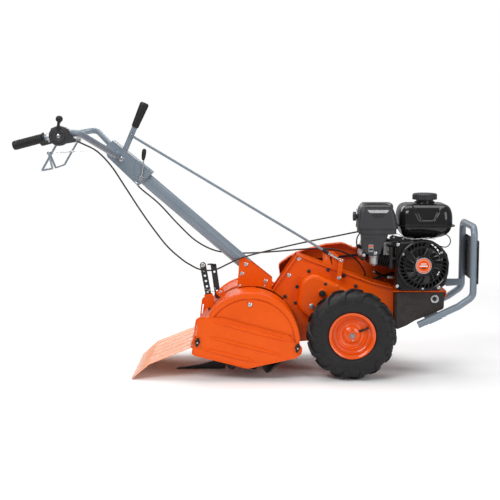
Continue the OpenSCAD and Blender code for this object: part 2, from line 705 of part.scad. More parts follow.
module air_cleaner_base() color(charcoal) {
    difference() {
        union() {
            across(cleaner_y[0] + 3, cleaner_y[1] - 3) polygon([[410, 555], [550, 555],
                [550, 537], [410, 537]]);
            across(cleaner_y[0] + 10, cleaner_y[1] - 10) polygon([[420, 538], [424, 480],
                [440, 458], [470, 453], [492, 466], [500, 500], [518, 538]]);
        }
        across(cleaner_y[0] + 14, cleaner_y[1] - 14) polygon([[426, 556], [429, 482],
            [443, 463], [468, 459], [488, 470], [495, 502], [512, 556]]);
        engine_frame() translate([-240, -57, -57]) cube([176, 114, 113]);
    }
}
module air_cleaner_cover() color(charcoal) difference() {
    translate([408, cleaner_y[0], 555.2]) {
        linear_extrude(72) rounded([144, cleaner_y[1] - cleaner_y[0]], 16);
        translate([6, 6, 72]) linear_extrude(22) rounded([130, cleaner_y[1] - cleaner_y[0] - 12], 14);
    }
    translate([412, cleaner_y[0] + 4, 550]) linear_extrude(72)
        rounded([136, cleaner_y[1] - cleaner_y[0] - 8], 12);
}
module filter_knob() color(black) {
    rod([388, -74, 600], [407.6, -74, 600], 15);
    for (a = [0 : 60 : 300]) translate([389, -74, 600]) rotate([a, 0, 0])
        translate([0, 0, 14]) rotate([0, 90, 0]) cylinder(h = 14, r = 3.5);
}
module carburettor() color(silver) {
    translate([468, -88, 413]) cylinder(h = 34, r = 16);
    translate([468, -88, 447]) cylinder(h = 5.6, r = 19);
    translate([506, -76, 452]) cube([30, 20, 50]);
}
module choke_lever() color(black) {
    translate([518, -76.4, 490]) rotate([90, 0, 0]) difference() {
        linear_extrude(3) stadium([0, 0], [24, -10], 5);
        translate([0, 0, -1]) cylinder(h = 5, r = 2 + run_fit);
    }
}
tank_y = 100;
module tank_layer(x0, x1, y, z, h, r) translate([x0, -y, z]) linear_extrude(h)
    rounded([x1 - x0, 2 * y], r);
module fuel_tank() color(black) difference() {
    union() {
        tank_layer(578, 758, tank_y - 30, 513, 14, 30);
        tank_layer(567, 768, tank_y - 3, 527, 34, 34);
        tank_layer(562, 780, tank_y, 561, 4, 30);
        tank_layer(566, 768, tank_y - 4, 565, 55, 34);
        tank_layer(574, 760, tank_y - 10, 620, 24, 30);
        translate([670, 0, 644]) cylinder(h = 14, r = 34);
    }
    tank_layer(584, 752, tank_y - 36, 519, 20, 24);
    tank_layer(584, 752, tank_y - 16, 533, 105, 24);
    translate([670, 0, 630]) cylinder(h = 40, r = 30);
}
module fuel_cap() color(black) {
    translate([670, 0, 658.4]) difference() {
        union() {
            cylinder(h = 24.6, r = 45);
            for (a = [0 : 20 : 340]) rotate(a) translate([44, 0, 0]) cylinder(h = 21, r = 3.5);
        }
        translate([0, 0, -1]) cylinder(h = 18, r = 41);
    }
}
module muffler() color([0.3, 0.3, 0.31]) difference() {
    union() {
        translate([430, 16, 532]) linear_extrude(108) rounded([124, 104], 22);
        rod([478, 70, 497], [478, 70, 534], 11);
        rod([478, 54.3, 497], [478, 74, 497], 11);
        rod([430, 90, 610], [416, 90, 606], 9);
    }
    translate([434, 20, 536]) linear_extrude(100) rounded([116, 96], 18);
}
module spark_plug() {
    color(silver) engine_frame() translate([-224, -36, 0]) rotate([0, 90, 0])
        cylinder(h = 16.8, r = 7);
    color(black) engine_frame() translate([-246, -36, 0]) rotate([0, 90, 0])
        cylinder(h = 22, r = 9);
}
module crankshaft() color(silver) {
    y_bar(crank_at, -140, 104, crank_r);
    y_bar(crank_at, -58, -34, 40);
    y_bar(crank_at, 20, 44, 40);
    pulley_at(crank_at, engine_pulley_r);
    color(charcoal) y_bar(crank_at, -134, -98, 76);
}
module gear(p, y0, y1, r, teeth) {
    y_bar(p, y0, y1, r - 3);
    for (k = [0 : teeth - 1]) across(y0, y1) at(p) rotate(360 * k / teeth)
        translate([r - 5, -1.8]) square([7, 3.6]);
}
module input_shaft() color(silver) {
    y_bar(input_at, -cover_right_y + 5, 104, input_r);
    gear(input_at, -12, 12, 32, 20);
    pulley_at(input_at, input_pulley_r);
}

// ---------- wheels and tines ----------
module axle() color([0.35, 0.35, 0.37]) {
    y_bar(axle_at, -236, 236, axle_r);
    gear(axle_at, -14, 14, 52, 36);
}
module on_wheel(side) translate([axle_at.x, side * wheel_y, axle_at.y]) rotate([-90 * side, 0, 0])
    children();
module rim(side) color(orange) on_wheel(side) rotate_extrude() polygon([
    [axle_r + run_fit, -24], [20, -24], [20, 6], [34, 10], [48, 2], [62, 2], [68, 14], [73, 14],
    [73, -46], [86, -52], [87, -49], [76, -44], [76, 44], [87, 49], [86, 52], [73, 46],
    [73, 18], [66, 18], [60, 6], [49, 6], [35, 14], [21, 10], [21, 42], [axle_r + run_fit, 42]
]);
module rim_right() rim(-1);
module rim_left() rim(1);
module tyre(side) color([0.12, 0.12, 0.12]) on_wheel(side) {
    h = tyre_w / 2;
    rotate_extrude() polygon([
        [76.3, -44], [76.3, -30], [84, -30], [90, -h + 14], [115, -h + 9], [140, -h + 9],
        [154, -h + 20], [159, 0], [154, h - 20], [140, h - 9], [115, h - 9], [90, h - 14],
        [84, 30], [76.3, 30], [76.3, 44], [87.5, 48], [92, 55], [115, h], [141, h],
        [158, h - 8], [tyre_r - 2, h - 22], [tyre_r, 0], [tyre_r - 2, 22 - h], [158, 8 - h],
        [141, -h], [115, -h], [92, -55], [87.5, -48]
    ]);
}
module tyre_right() tyre(-1);
module tyre_left() tyre(1);
module tine_shaft() color(silver) {
    y_bar(tine_at, -228, 228, tine_shaft_r);
    gear(tine_at, -14, 14, 32, 22);
}
tine_places = [94, 186];
tine_bend = 42;                       // how far a blade's tip reaches to the side
// One L-shaped blade: a flat arm whose end is turned to one side, with a lip that cuts first
module blade(turn, side) translate([0, 0, tine_z]) rotate([0, turn, 0]) scale([1, side, 1]) {
    translate([-18, 0, 0]) rotate([90, 0, 90]) linear_extrude(36) polygon([
        [-4, 26], [4, 26], [4, tine_r - 12], [tine_bend, tine_r - 12], [tine_bend, tine_r - 4],
        [-4, tine_r - 4]
    ]);
    translate([10, -3, tine_r - 11]) rotate([0, 40, 0]) cube([34, tine_bend + 2, 6]);
}
module tine_group(y, start) translate([0, y, 0]) difference() {
    union() {
        y_bar(tine_at, -24, 24, 20);
        y_bar(tine_at, -5, 5, 46);
        for (k = [0 : 3]) blade(start + 90 * k, k % 2 == 0 ? 1 : -1);
    }
    y_bar(tine_at, -50, 50, tine_shaft_r + run_fit);
}
module tines_right() color([0.12, 0.12, 0.13]) for (k = [0, 1])
    tine_group(-tine_places[k], 160 + 45 * k);
module tines_left() color([0.12, 0.12, 0.13]) for (k = [0, 1])
    tine_group(tine_places[k], 175 + 45 * k);

gearbox_case();
gearbox_cover_right();
gearbox_cover_left();
gearbox_bolts();
frame_plates();
engine_plate();
counterweight();
bumper_tube();
bumper_plate();
belt_cover();
drive_belt();
idler_arm();
hood();
side_shields();
wing_knobs();
rear_flap();
stake_bracket();
depth_stake();
column();
column_base();
bolts();
selector_bracket();
selector_arm();
shift_rod();
gear_lever();
handle_channel();
handle_tubes();
grips();
throttle_housing();
throttle_lever();
bail();
pull_rod();
lock_lever();
throttle_cable();
clutch_cable();
crankcase();
cylinder_and_fins();  // cylinder
valve_cover();
blower_housing();
recoil_cover();
recoil_handle();
air_cleaner_base();
air_cleaner_cover();
filter_knob();
carburettor();
choke_lever();
fuel_tank();
fuel_cap();
muffler();
spark_plug();
crankshaft();
input_shaft();
axle();
rim_right();
rim_left();
tyre_right();
tyre_left();
tine_shaft();
tines_right();
tines_left();
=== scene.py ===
"""Looks of the rear-tine tiller, built around its CAD frame. Lengths in this script are in mm."""

import json
from math import copysign, cos, hypot, pi, radians, sin, tan

import bmesh
import bpy
import numpy as np
from mathutils import Matrix, Vector


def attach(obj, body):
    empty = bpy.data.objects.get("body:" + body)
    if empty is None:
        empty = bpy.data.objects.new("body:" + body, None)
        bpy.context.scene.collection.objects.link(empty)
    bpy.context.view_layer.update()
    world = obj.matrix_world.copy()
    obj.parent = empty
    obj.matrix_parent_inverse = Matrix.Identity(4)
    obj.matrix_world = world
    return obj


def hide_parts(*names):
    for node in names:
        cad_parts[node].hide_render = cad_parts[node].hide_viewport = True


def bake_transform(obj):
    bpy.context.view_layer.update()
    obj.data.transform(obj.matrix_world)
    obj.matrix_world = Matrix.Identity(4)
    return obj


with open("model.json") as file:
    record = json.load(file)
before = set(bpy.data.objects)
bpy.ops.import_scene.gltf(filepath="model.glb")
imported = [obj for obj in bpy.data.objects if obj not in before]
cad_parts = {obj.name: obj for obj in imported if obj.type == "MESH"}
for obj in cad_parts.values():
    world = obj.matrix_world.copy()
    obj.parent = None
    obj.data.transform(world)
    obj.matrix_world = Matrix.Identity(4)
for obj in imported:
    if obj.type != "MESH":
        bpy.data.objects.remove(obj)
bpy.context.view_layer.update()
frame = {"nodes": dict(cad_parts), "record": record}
MM = 0.001

# ---------- camera, backdrop and light -------
camera = bpy.data.objects.new("camera", bpy.data.cameras.new("camera"))
bpy.context.scene.collection.objects.link(camera)
camera.location = (0.029, -4.439, 0.987)
camera.rotation_euler = (radians(90 - 6.75), 0, radians(0.41))
camera.data.sensor_width = 36
camera.data.lens = 83.02
camera.data.dof.use_dof = False
bpy.context.scene.camera = camera


def light(name, place, aim, size, power, colour=(1, 1, 1)):
    data = bpy.data.lights.new(name, "AREA")
    data.shape, data.size, data.size_y = "RECTANGLE", size[0], size[1]
    data.energy, data.color = power, colour
    lamp = bpy.data.objects.new(name, data)
    bpy.context.scene.collection.objects.link(lamp)
    lamp.location = place
    lamp.rotation_euler = (Vector(aim) - Vector(place)).to_track_quat("-Z", "Y").to_euler()


light("key_light", (-1.8, -3.0, 3.2), (0, 0, 0.4), (2.6, 1.6), 95)
light("fill_light", (2.6, -3.2, 1.5), (0.2, 0, 0.4), (1.6, 2.2), 45)
light("top_light", (0.1, 0.4, 3.4), (0, 0, 0.3), (3.4, 2.4), 75)
light("back_light", (-1.2, 3.0, 2.2), (0, 0, 0.5), (2.6, 2.0), 45)


def set_inputs(node, values):
    for name, value in values.items():
        node.inputs[name].default_value = value


# a white backdrop that lights the object less than the lamps do
world = bpy.data.worlds.new("studio")
bpy.context.scene.world = world
world.use_nodes = True
sky = world.node_tree
seen = sky.nodes.new("ShaderNodeLightPath")
level = sky.nodes.new("ShaderNodeMapRange")
set_inputs(level, {"To Min": 0.32, "To Max": 1.0})
sky.links.new(seen.outputs["Is Camera Ray"], level.inputs["Value"])
sky.nodes["Background"].inputs["Color"].default_value = (1, 1, 1, 1)
sky.links.new(level.outputs["Result"], sky.nodes["Background"].inputs["Strength"])
bpy.context.scene.view_settings.view_transform = "Standard"


# ---------- materials ----------
def noise_node(tree, coords, scale, detail=4, rough=0.6):
    n = tree.nodes.new("ShaderNodeTexNoise")
    set_inputs(n, {"Scale": scale, "Detail": detail, "Roughness": rough})
    tree.links.new(coords, n.inputs["Vector"])
    return n


def surface(name, light_tone, dark_tone, patch=9, rough=0.4, rough_spread=0.1, metal=0.0, coat=0.0,
        grain=600, bump=0.05, depth=0.0004, stretch=(1, 1, 1), dust=None, specular=0.5):
    """A procedural finish: two tones in soft patches, uneven gloss, a fine grain and, with dust,
    a pale film on what faces upwards."""
    m = bpy.data.materials.new(name)
    m.use_nodes = True
    t = m.node_tree
    shader = t.nodes["Principled BSDF"]
    set_inputs(shader, {"Metallic": metal, "Coat Weight": coat, "Coat Roughness": 0.08,
        "Specular IOR Level": specular})
    coords = t.nodes.new("ShaderNodeTexCoord")
    place = t.nodes.new("ShaderNodeMapping")
    place.inputs["Scale"].default_value = stretch
    t.links.new(coords.outputs["Object"], place.inputs["Vector"])
    patches = noise_node(t, place.outputs["Vector"], patch, 6, 0.65)
    tones = t.nodes.new("ShaderNodeValToRGB")
    tones.color_ramp.elements[0].position = 0.32
    tones.color_ramp.elements[1].position = 0.68
    tones.color_ramp.elements[0].color = (*dark_tone, 1)
    tones.color_ramp.elements[1].color = (*light_tone, 1)
    t.links.new(patches.outputs["Fac"], tones.inputs["Fac"])
    colour = tones.outputs["Color"]
    if dust:
        geometry = t.nodes.new("ShaderNodeNewGeometry")
        split = t.nodes.new("ShaderNodeSeparateXYZ")
        t.links.new(geometry.outputs["Normal"], split.inputs["Vector"])
        up = t.nodes.new("ShaderNodeMapRange")
        set_inputs(up, {"From Min": 0.2, "From Max": 1.0, "To Max": dust[3]})
        t.links.new(split.outputs["Z"], up.inputs["Value"])
        film = t.nodes.new("ShaderNodeMix")
        film.data_type = "RGBA"
        film.inputs["B"].default_value = (*dust[:3], 1)
        t.links.new(up.outputs["Result"], film.inputs["Factor"])
        t.links.new(colour, film.inputs["A"])
        colour = film.outputs["Result"]
    t.links.new(colour, shader.inputs["Base Color"])
    wear = noise_node(t, place.outputs["Vector"], patch * 5, 4, 0.6)
    gloss = t.nodes.new("ShaderNodeMapRange")
    set_inputs(gloss, {"From Min": 0.3, "From Max": 0.7, "To Min": max(rough - rough_spread, 0.03),
        "To Max": rough + rough_spread})
    t.links.new(wear.outputs["Fac"], gloss.inputs["Value"])
    t.links.new(gloss.outputs["Result"], shader.inputs["Roughness"])
    fine = noise_node(t, place.outputs["Vector"], grain, 3, 0.6)
    relief = t.nodes.new("ShaderNodeBump")
    set_inputs(relief, {"Strength": bump, "Distance": depth})
    t.links.new(fine.outputs["Fac"], relief.inputs["Height"])
    t.links.new(relief.outputs["Normal"], shader.inputs["Normal"])
    return m


orange = surface("orange_coat", (0.80, 0.100, 0.0012), (0.73, 0.083, 0.0009), rough=0.32,
    rough_spread=0.07, coat=0.03, grain=260, bump=0.10, specular=0.2)
# the rear flap's paler, peach copy of the orange paint is painted light: it stands for the light that
# falls on the flap
flap_orange_painted_light = surface("flap_orange_painted_light", (0.88, 0.40, 0.24), (0.84, 0.31, 0.16), rough=0.30,
    rough_spread=0.08, patch=5, coat=0.15, grain=260, bump=0.08, specular=0.4)
orange_gloss = surface("orange_gloss", (0.80, 0.098, 0.0015), (0.73, 0.080, 0.001), rough=0.24,
    rough_spread=0.05, coat=0.5, grain=200, bump=0.05, specular=0.35)
grey_coat = surface("grey_coat", (0.20, 0.245, 0.29), (0.17, 0.21, 0.255), rough=0.34, rough_spread=0.06,
    metal=0.1, coat=0.12, grain=500, bump=0.02)
black_coat = surface("black_coat", (0.017, 0.017, 0.018), (0.010, 0.010, 0.011), rough=0.36,
    rough_spread=0.08)
dark_steel = surface("dark_steel", (0.030, 0.029, 0.028), (0.015, 0.014, 0.013), patch=16, rough=0.46,
    metal=0.3, grain=240, bump=0.3)
zinc = surface("zinc", (0.72, 0.72, 0.74), (0.56, 0.56, 0.58), patch=60, rough=0.26, rough_spread=0.1,
    metal=1.0, grain=900)
bare_steel = surface("bare_steel", (0.34, 0.34, 0.35), (0.24, 0.23, 0.23), patch=30, rough=0.34,
    metal=1.0, grain=500, stretch=(1, 0.05, 1))
cast_metal = surface("cast_aluminium", (0.62, 0.62, 0.63), (0.47, 0.47, 0.48), patch=40, rough=0.5,
    metal=0.9, grain=420, bump=0.5)
black_cast = surface("black_cast", (0.022, 0.022, 0.024), (0.013, 0.013, 0.014), patch=30, rough=0.5,
    grain=420, bump=0.45)
iron = surface("weight_iron", (0.032, 0.024, 0.020), (0.017, 0.013, 0.011), patch=22, rough=0.62,
    grain=160, bump=0.7, depth=0.0008)
gloss_black = surface("gloss_black", (0.010, 0.010, 0.011), (0.007, 0.007, 0.008), patch=6, rough=0.14,
    rough_spread=0.03, coat=0.3, grain=400, bump=0.03, specular=0.3)
housing_black = surface("housing_black", (0.008, 0.008, 0.0085), (0.005, 0.005, 0.0055), patch=10,
    rough=0.34, rough_spread=0.06, grain=500, bump=0.1, specular=0.25)
charcoal = surface("charcoal_plastic", (0.030, 0.030, 0.033), (0.021, 0.021, 0.024), patch=14, rough=0.48,
    rough_spread=0.05, grain=900, bump=0.35)
rubber = surface("grip_rubber", (0.013, 0.013, 0.013), (0.008, 0.008, 0.008), patch=26, rough=0.52,
    grain=700, bump=0.25, specular=0.35)
belt_rubber = surface("belt_rubber", (0.022, 0.021, 0.021), (0.012, 0.012, 0.012), patch=40, rough=0.75,
    grain=900, bump=0.6)
jacket = surface("cable_jacket", (0.012, 0.012, 0.012), (0.007, 0.007, 0.007), patch=30, rough=0.38)
tyre_rubber = surface("tyre_rubber", (0.015, 0.015, 0.016), (0.008, 0.008, 0.009), patch=14, rough=0.55,
    rough_spread=0.08, grain=380, bump=0.35, dust=(0.03, 0.03, 0.03, 0.2), specular=0.3)
white_print = surface("white_print", (0.80, 0.80, 0.79), (0.72, 0.72, 0.71), patch=60, rough=0.4)
brass = surface("bowl_brass", (0.62, 0.55, 0.40), (0.50, 0.43, 0.30), patch=40, rough=0.32, metal=1.0)
MATERIALS = {"orange_paint": orange, "grey_paint": grey_coat, "black_paint": black_coat,
    "black_steel": dark_steel, "zinc": zinc, "steel": bare_steel, "cast_aluminium": cast_metal,
    "black_casting": black_cast, "counterweight": iron, "black_gloss": gloss_black,
    "charcoal_plastic": charcoal, "grip_rubber": rubber, "belt_rubber": belt_rubber,
    "cable_jacket": jacket, "tyre": tyre_rubber}
SLOT_OF = {s["node"]: s["material_slot"] for s in frame["record"]["subparts"]}
for node_name, cad in frame["nodes"].items():
    cad.data.materials.clear()
    cad.data.materials.append(MATERIALS[SLOT_OF[node_name]])


# ---------- shape helpers ----------
def turned(degrees, axis):
    return Matrix.Rotation(radians(degrees), 4, axis)


def moved(x, y, z):
    return Matrix.Translation((x, y, z))


SIDEWAYS = turned(90, "X")            # lays local x and y into the side view


def polar(r, a):
    return (r * cos(radians(a)), r * sin(radians(a)))


def hexagon(r):
    return [(r * cos(pi / 3 * k), r * sin(pi / 3 * k)) for k in range(6)]


def rod(r, low, high):
    """The profile of a plain round bar, for lathe."""
    return [(0, low), (r, low), (r, high), (0, high)]


def facing(x, z, y=0.0, turn=0.0, side=-1):
    """Local z points sideways, to the right for side -1, from a place given in the side view."""
    return (moved(x, y, z) @ turned(turn, "Y") @ turned(-90 * side, "X"))


def upright(x, y, z, turn=0.0):
    return moved(x, y, z) @ turned(turn, "Z")


def aim(a, b):
    """Local z runs from a to b, with its start at a."""
    return Matrix.Translation(a) @ (Vector(b) - Vector(a)).to_track_quat("Z", "Y").to_matrix().to_4x4()


def arc(x, z, r, start, end, n=12):
    return [(x + r * cos(radians(start + (end - start) * k / n)),
        z + r * sin(radians(start + (end - start) * k / n))) for k in range(n + 1)]


def hole(x, z, r, n=20):
    return arc(x, z, r, 0, 360 - 360 / n, n - 1)


def wrapped(discs, n=72):
    """Outline stretched round discs (x, z, radius)."""
    out = []
    for k in range(n):
        d = (cos(2 * pi * k / n), sin(2 * pi * k / n))
        p = max(discs, key=lambda q: q[0] * d[0] + q[1] * d[1] + q[2])
        out.append((p[0] + p[2] * d[0], p[1] + p[2] * d[1]))
    return out


def soft(outline, r, n=5):
    """The outline with its corners rounded to r, as far as its sides allow."""
    out = []
    for i, v in enumerate(outline):
        a, b, v = Vector(outline[i - 1]), Vector(outline[(i + 1) % len(outline)]), Vector(v)
        p, q = (a - v), (b - v)
        angle = p.angle(q)
        if angle > radians(174):
            out.append(tuple(v))
            continue
        cut = min(r / tan(angle / 2), p.length * 0.48, q.length * 0.48)
        s, e = v + p.normalized() * cut, v + q.normalized() * cut
        for k in range(n + 1):
            t = k / n
            out.append(tuple(s * (1 - t) ** 2 + v * 2 * t * (1 - t) + e * t * t))
    return out


def rect(w, h, r, x=0.0, z=0.0):
    return soft([(x - w / 2, z - h / 2), (x + w / 2, z - h / 2), (x + w / 2, z + h / 2),
        (x - w / 2, z + h / 2)], r)


def bent(points, r, n=8):
    """A path whose corners are bent to radius r."""
    out = [Vector(points[0])]
    for a, v, b in zip(points, points[1:], points[2:]):
        a, v, b = Vector(a), Vector(v), Vector(b)
        p, q = (v - a).normalized(), (b - v).normalized()
        turn = p.angle(q)
        m = (q - p * p.dot(q)).normalized()
        c = v - p * r * tan(turn / 2) + m * r
        out += [c + r * (p * sin(turn * k / n) - m * cos(turn * k / n)) for k in range(n + 1)]
    return out + [Vector(points[-1])]


def curve(points, n=8):
    """A smooth line through the points."""
    p = [Vector(v) for v in points]
    out = []
    for i in range(len(p) - 1):
        a, b, c, d = p[max(i - 1, 0)], p[i], p[i + 1], p[min(i + 2, len(p) - 1)]
        for k in range(n):
            t = k / n
            out.append(0.5 * (2 * b + (c - a) * t + (2 * a - 5 * b + 4 * c - d) * t * t
                + (3 * b - a - 3 * c + d) * t ** 3))
    return out + [p[-1]]


class Part:
    """One visible piece, built up from several shapes in mm and then given to its body."""

    def __init__(self, name, body, slot, *nodes):
        self.name, self.body, self.slot, self.nodes = name, body, slot, nodes
        self.verts, self.faces, self.picks, self.finishes = [], [], [], []

    def add(self, verts, faces, finish, place=None):
        if finish not in self.finishes:
            self.finishes.append(finish)
        start = len(self.verts)
        self.verts += [tuple(place @ Vector(v)) if place else tuple(v) for v in verts]
        self.faces += [tuple(start + i for i in f) for f in faces]
        self.picks += [self.finishes.index(finish)] * len(faces)

    def solid(self, outline, low, high, finish, place=None, holes=()):
        """An outline in local x and y, from local z low to high, with holes through it."""
        bm = bmesh.new()
        for loop in (outline, *holes):
            vs = [bm.verts.new((x, y, 0)) for x, y in loop]
            for a, b in zip(vs, vs[1:] + vs[:1]):
                bm.edges.new((a, b))
        if holes:
            bmesh.ops.triangle_fill(bm, use_beauty=True, use_dissolve=False, edges=bm.edges[:],
                normal=(0, 0, 1))
        else:
            bm.faces.new(bm.verts[:])
        bm.verts.index_update()
        verts = [v.co.copy() for v in bm.verts]
        caps = [[v.index for v in f.verts] for f in bm.faces]
        count = len(verts)
        rims, at = [], 0
        for loop in (outline, *holes):
            rims += [(at + k, at + (k + 1) % len(loop)) for k in range(len(loop))]
            at += len(loop)
        bm.free()
        both = [(v.x, v.y, low) for v in verts] + [(v.x, v.y, high) for v in verts]
        faces = [c[::-1] for c in caps] + [[i + count for i in c] for c in caps]
        faces += [(a, b, b + count, a + count) for a, b in rims]
        self.add(both, faces, finish, place)

    def across(self, outline, y0, y1, finish, holes=()):
        """An outline in the side view, between y0 and y1, given in either order."""
        y0, y1 = sorted((y0, y1))
        self.solid(outline, -y1, -y0, finish, SIDEWAYS, holes)

    def lathe(self, profile, finish, place=None, n=64, closed=True):
        """A profile of (radius, local z) turned about local z."""
        m = len(profile)
        verts, faces = [], []
        for k in range(n):
            c, s = cos(2 * pi * k / n), sin(2 * pi * k / n)
            verts += [(r * c, r * s, z) for r, z in profile]
        for k in range(n):
            a, b = k * m, (k + 1) % n * m
            for i in range(m if closed else m - 1):
                j = (i + 1) % m
                if profile[i][0] < 1e-6 and profile[j][0] < 1e-6:
                    continue
                faces.append((a + i, b + i, b + j, a + j))
        self.add(verts, faces, finish, place)

    def loft(self, rings, finish, place=None, closed=False, caps=True):
        """Skins a list of rings with the same number of points."""
        m = len(rings[0])
        verts = [v for ring in rings for v in ring]
        faces = []
        last = len(rings)
        for i in range(last if closed else last - 1):
            j = (i + 1) % last
            faces += [(i * m + k, i * m + (k + 1) % m, j * m + (k + 1) % m, j * m + k) for k in range(m)]
        if caps and not closed:
            faces += [tuple(range(m))[::-1], tuple((last - 1) * m + k for k in range(m))]
        self.add(verts, faces, finish, place)

    def tube(self, path, r, finish, n=16, closed=False, place=None, flat=1.0):
        """A round bar along a path; r may be a number or one number a point."""
        path = [Vector(p) for p in path]
        side, rings = None, []
        for i, p in enumerate(path):
            if closed:
                t = (path[(i + 1) % len(path)] - path[i - 1]).normalized()
            else:
                t = (path[min(i + 1, len(path) - 1)] - path[max(i - 1, 0)]).normalized()
            if side is None:
                side = t.orthogonal().normalized() if abs(t.y) > 0.9 else t.cross(Vector((0, 1,
                    0))).normalized()
            side = (side - t * side.dot(t)).normalized()
            other = t.cross(side)
            q = r[i] if isinstance(r, (list, tuple)) else r
            rings.append([p + q * (cos(2 * pi * k / n) * side + flat * sin(2 * pi * k / n) * other)
                for k in range(n)])
        self.loft(rings, finish, place, closed)

    def box(self, low, high, finish, place=None):
        (x0, y0, z0), (x1, y1, z1) = low, high
        self.solid([(x0, y0), (x1, y0), (x1, y1), (x0, y1)], z0, z1, finish, place)

    def bolt(self, x, z, y, r, h, finish, side=-1, washer=1.3, turn=0.0):
        """A flanged hexagon head standing on a face at y."""
        p = facing(x, z, y, turn, side)
        self.lathe([(0, 0), (r * washer, 0), (r * washer, h * 0.2), (r * 1.05, h * 0.34), (0, h * 0.34)],
            finish, p, 28)
        self.solid(hexagon(r), 0, h, finish, p)
        self.lathe([(0, h * 0.5), (r * 0.7, h * 0.5), (r * 0.62, h * 1.08), (0, h * 1.08)], finish, p, 20)

    def done(self, bevel=0.8, segments=2, angle=32, smooth=38):
        mesh = bpy.data.meshes.new(self.name)
        mesh.from_pydata([[c * MM for c in v] for v in self.verts], [], self.faces)
        for finish in self.finishes:
            mesh.materials.append(finish)
        mesh.polygons.foreach_set("material_index", self.picks)
        bm = bmesh.new()
        bm.from_mesh(mesh)
        bmesh.ops.remove_doubles(bm, verts=bm.verts, dist=1e-7)
        bmesh.ops.dissolve_degenerate(bm, edges=bm.edges, dist=1e-7)
        bmesh.ops.recalc_face_normals(bm, faces=bm.faces)
        bm.to_mesh(mesh)
        bm.free()
        o = bpy.data.objects.new(self.name, mesh)
        bpy.context.scene.collection.objects.link(o)
        mesh.shade_smooth()
        if bevel:
            m = o.modifiers.new("soft_edges", "BEVEL")
            m.width, m.segments, m.limit_method = bevel * MM, segments, "ANGLE"
            m.angle_limit, m.harden_normals = radians(angle), True
            m.use_clamp_overlap = True
        else:
            mesh.set_sharp_from_angle(angle=radians(smooth))
        if self.body:
            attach(o, self.body)
        if self.nodes:
            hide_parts(*self.nodes)
        return o


BODY_OF = {node: body for body, nodes in frame["record"]["behaviour"]["bodies"].items() for node in nodes}


def dressed(node, name=None, slot=None):
    """The visible piece that stands for one CAD node, on its body; the slot it stores, unless one is
    given, is the node's.
    """
    return Part(name or node + "_visual", BODY_OF[node], slot or SLOT_OF[node], node)


# ---------- places, as (x, z) in the side view ----------
AXLE = (378, 169)
TINE = (0, 142)
CRANK = (647, 422)
INPUT = (240, 338)
SELECTOR = (337, 364)                 # pivot of the selector arm
ROD_PIN = (345, 429)                  # its pin in the shift rod
ROD_EYE = (-452, 903)                 # the shift rod's eye on the gear lever
PIVOT = (-494, 815)                   # handlebar and gear lever
BAIL_PIVOT = (-700, 880)
CHOKE = (518, 490)
IDLER = (502, 286)
ROLLER = (450, 291)
HOOD_R, HOOD_INSIDE_R = 183, 180
ENGINE_PULLEY_R, INPUT_PULLEY_R = 36, 72
FLAP_HINGE = (-215, 133)
SHIELD_Y, STAKE_Y = 246, -34


# ---------- wheels ----------
WHEEL_Y = 190
TREAD = [(4, 160.2), (16, 160), (28, 159.2), (40, 157), (50, 152.5), (56.5, 146), (59.8, 138),
    (60.8, 131)]


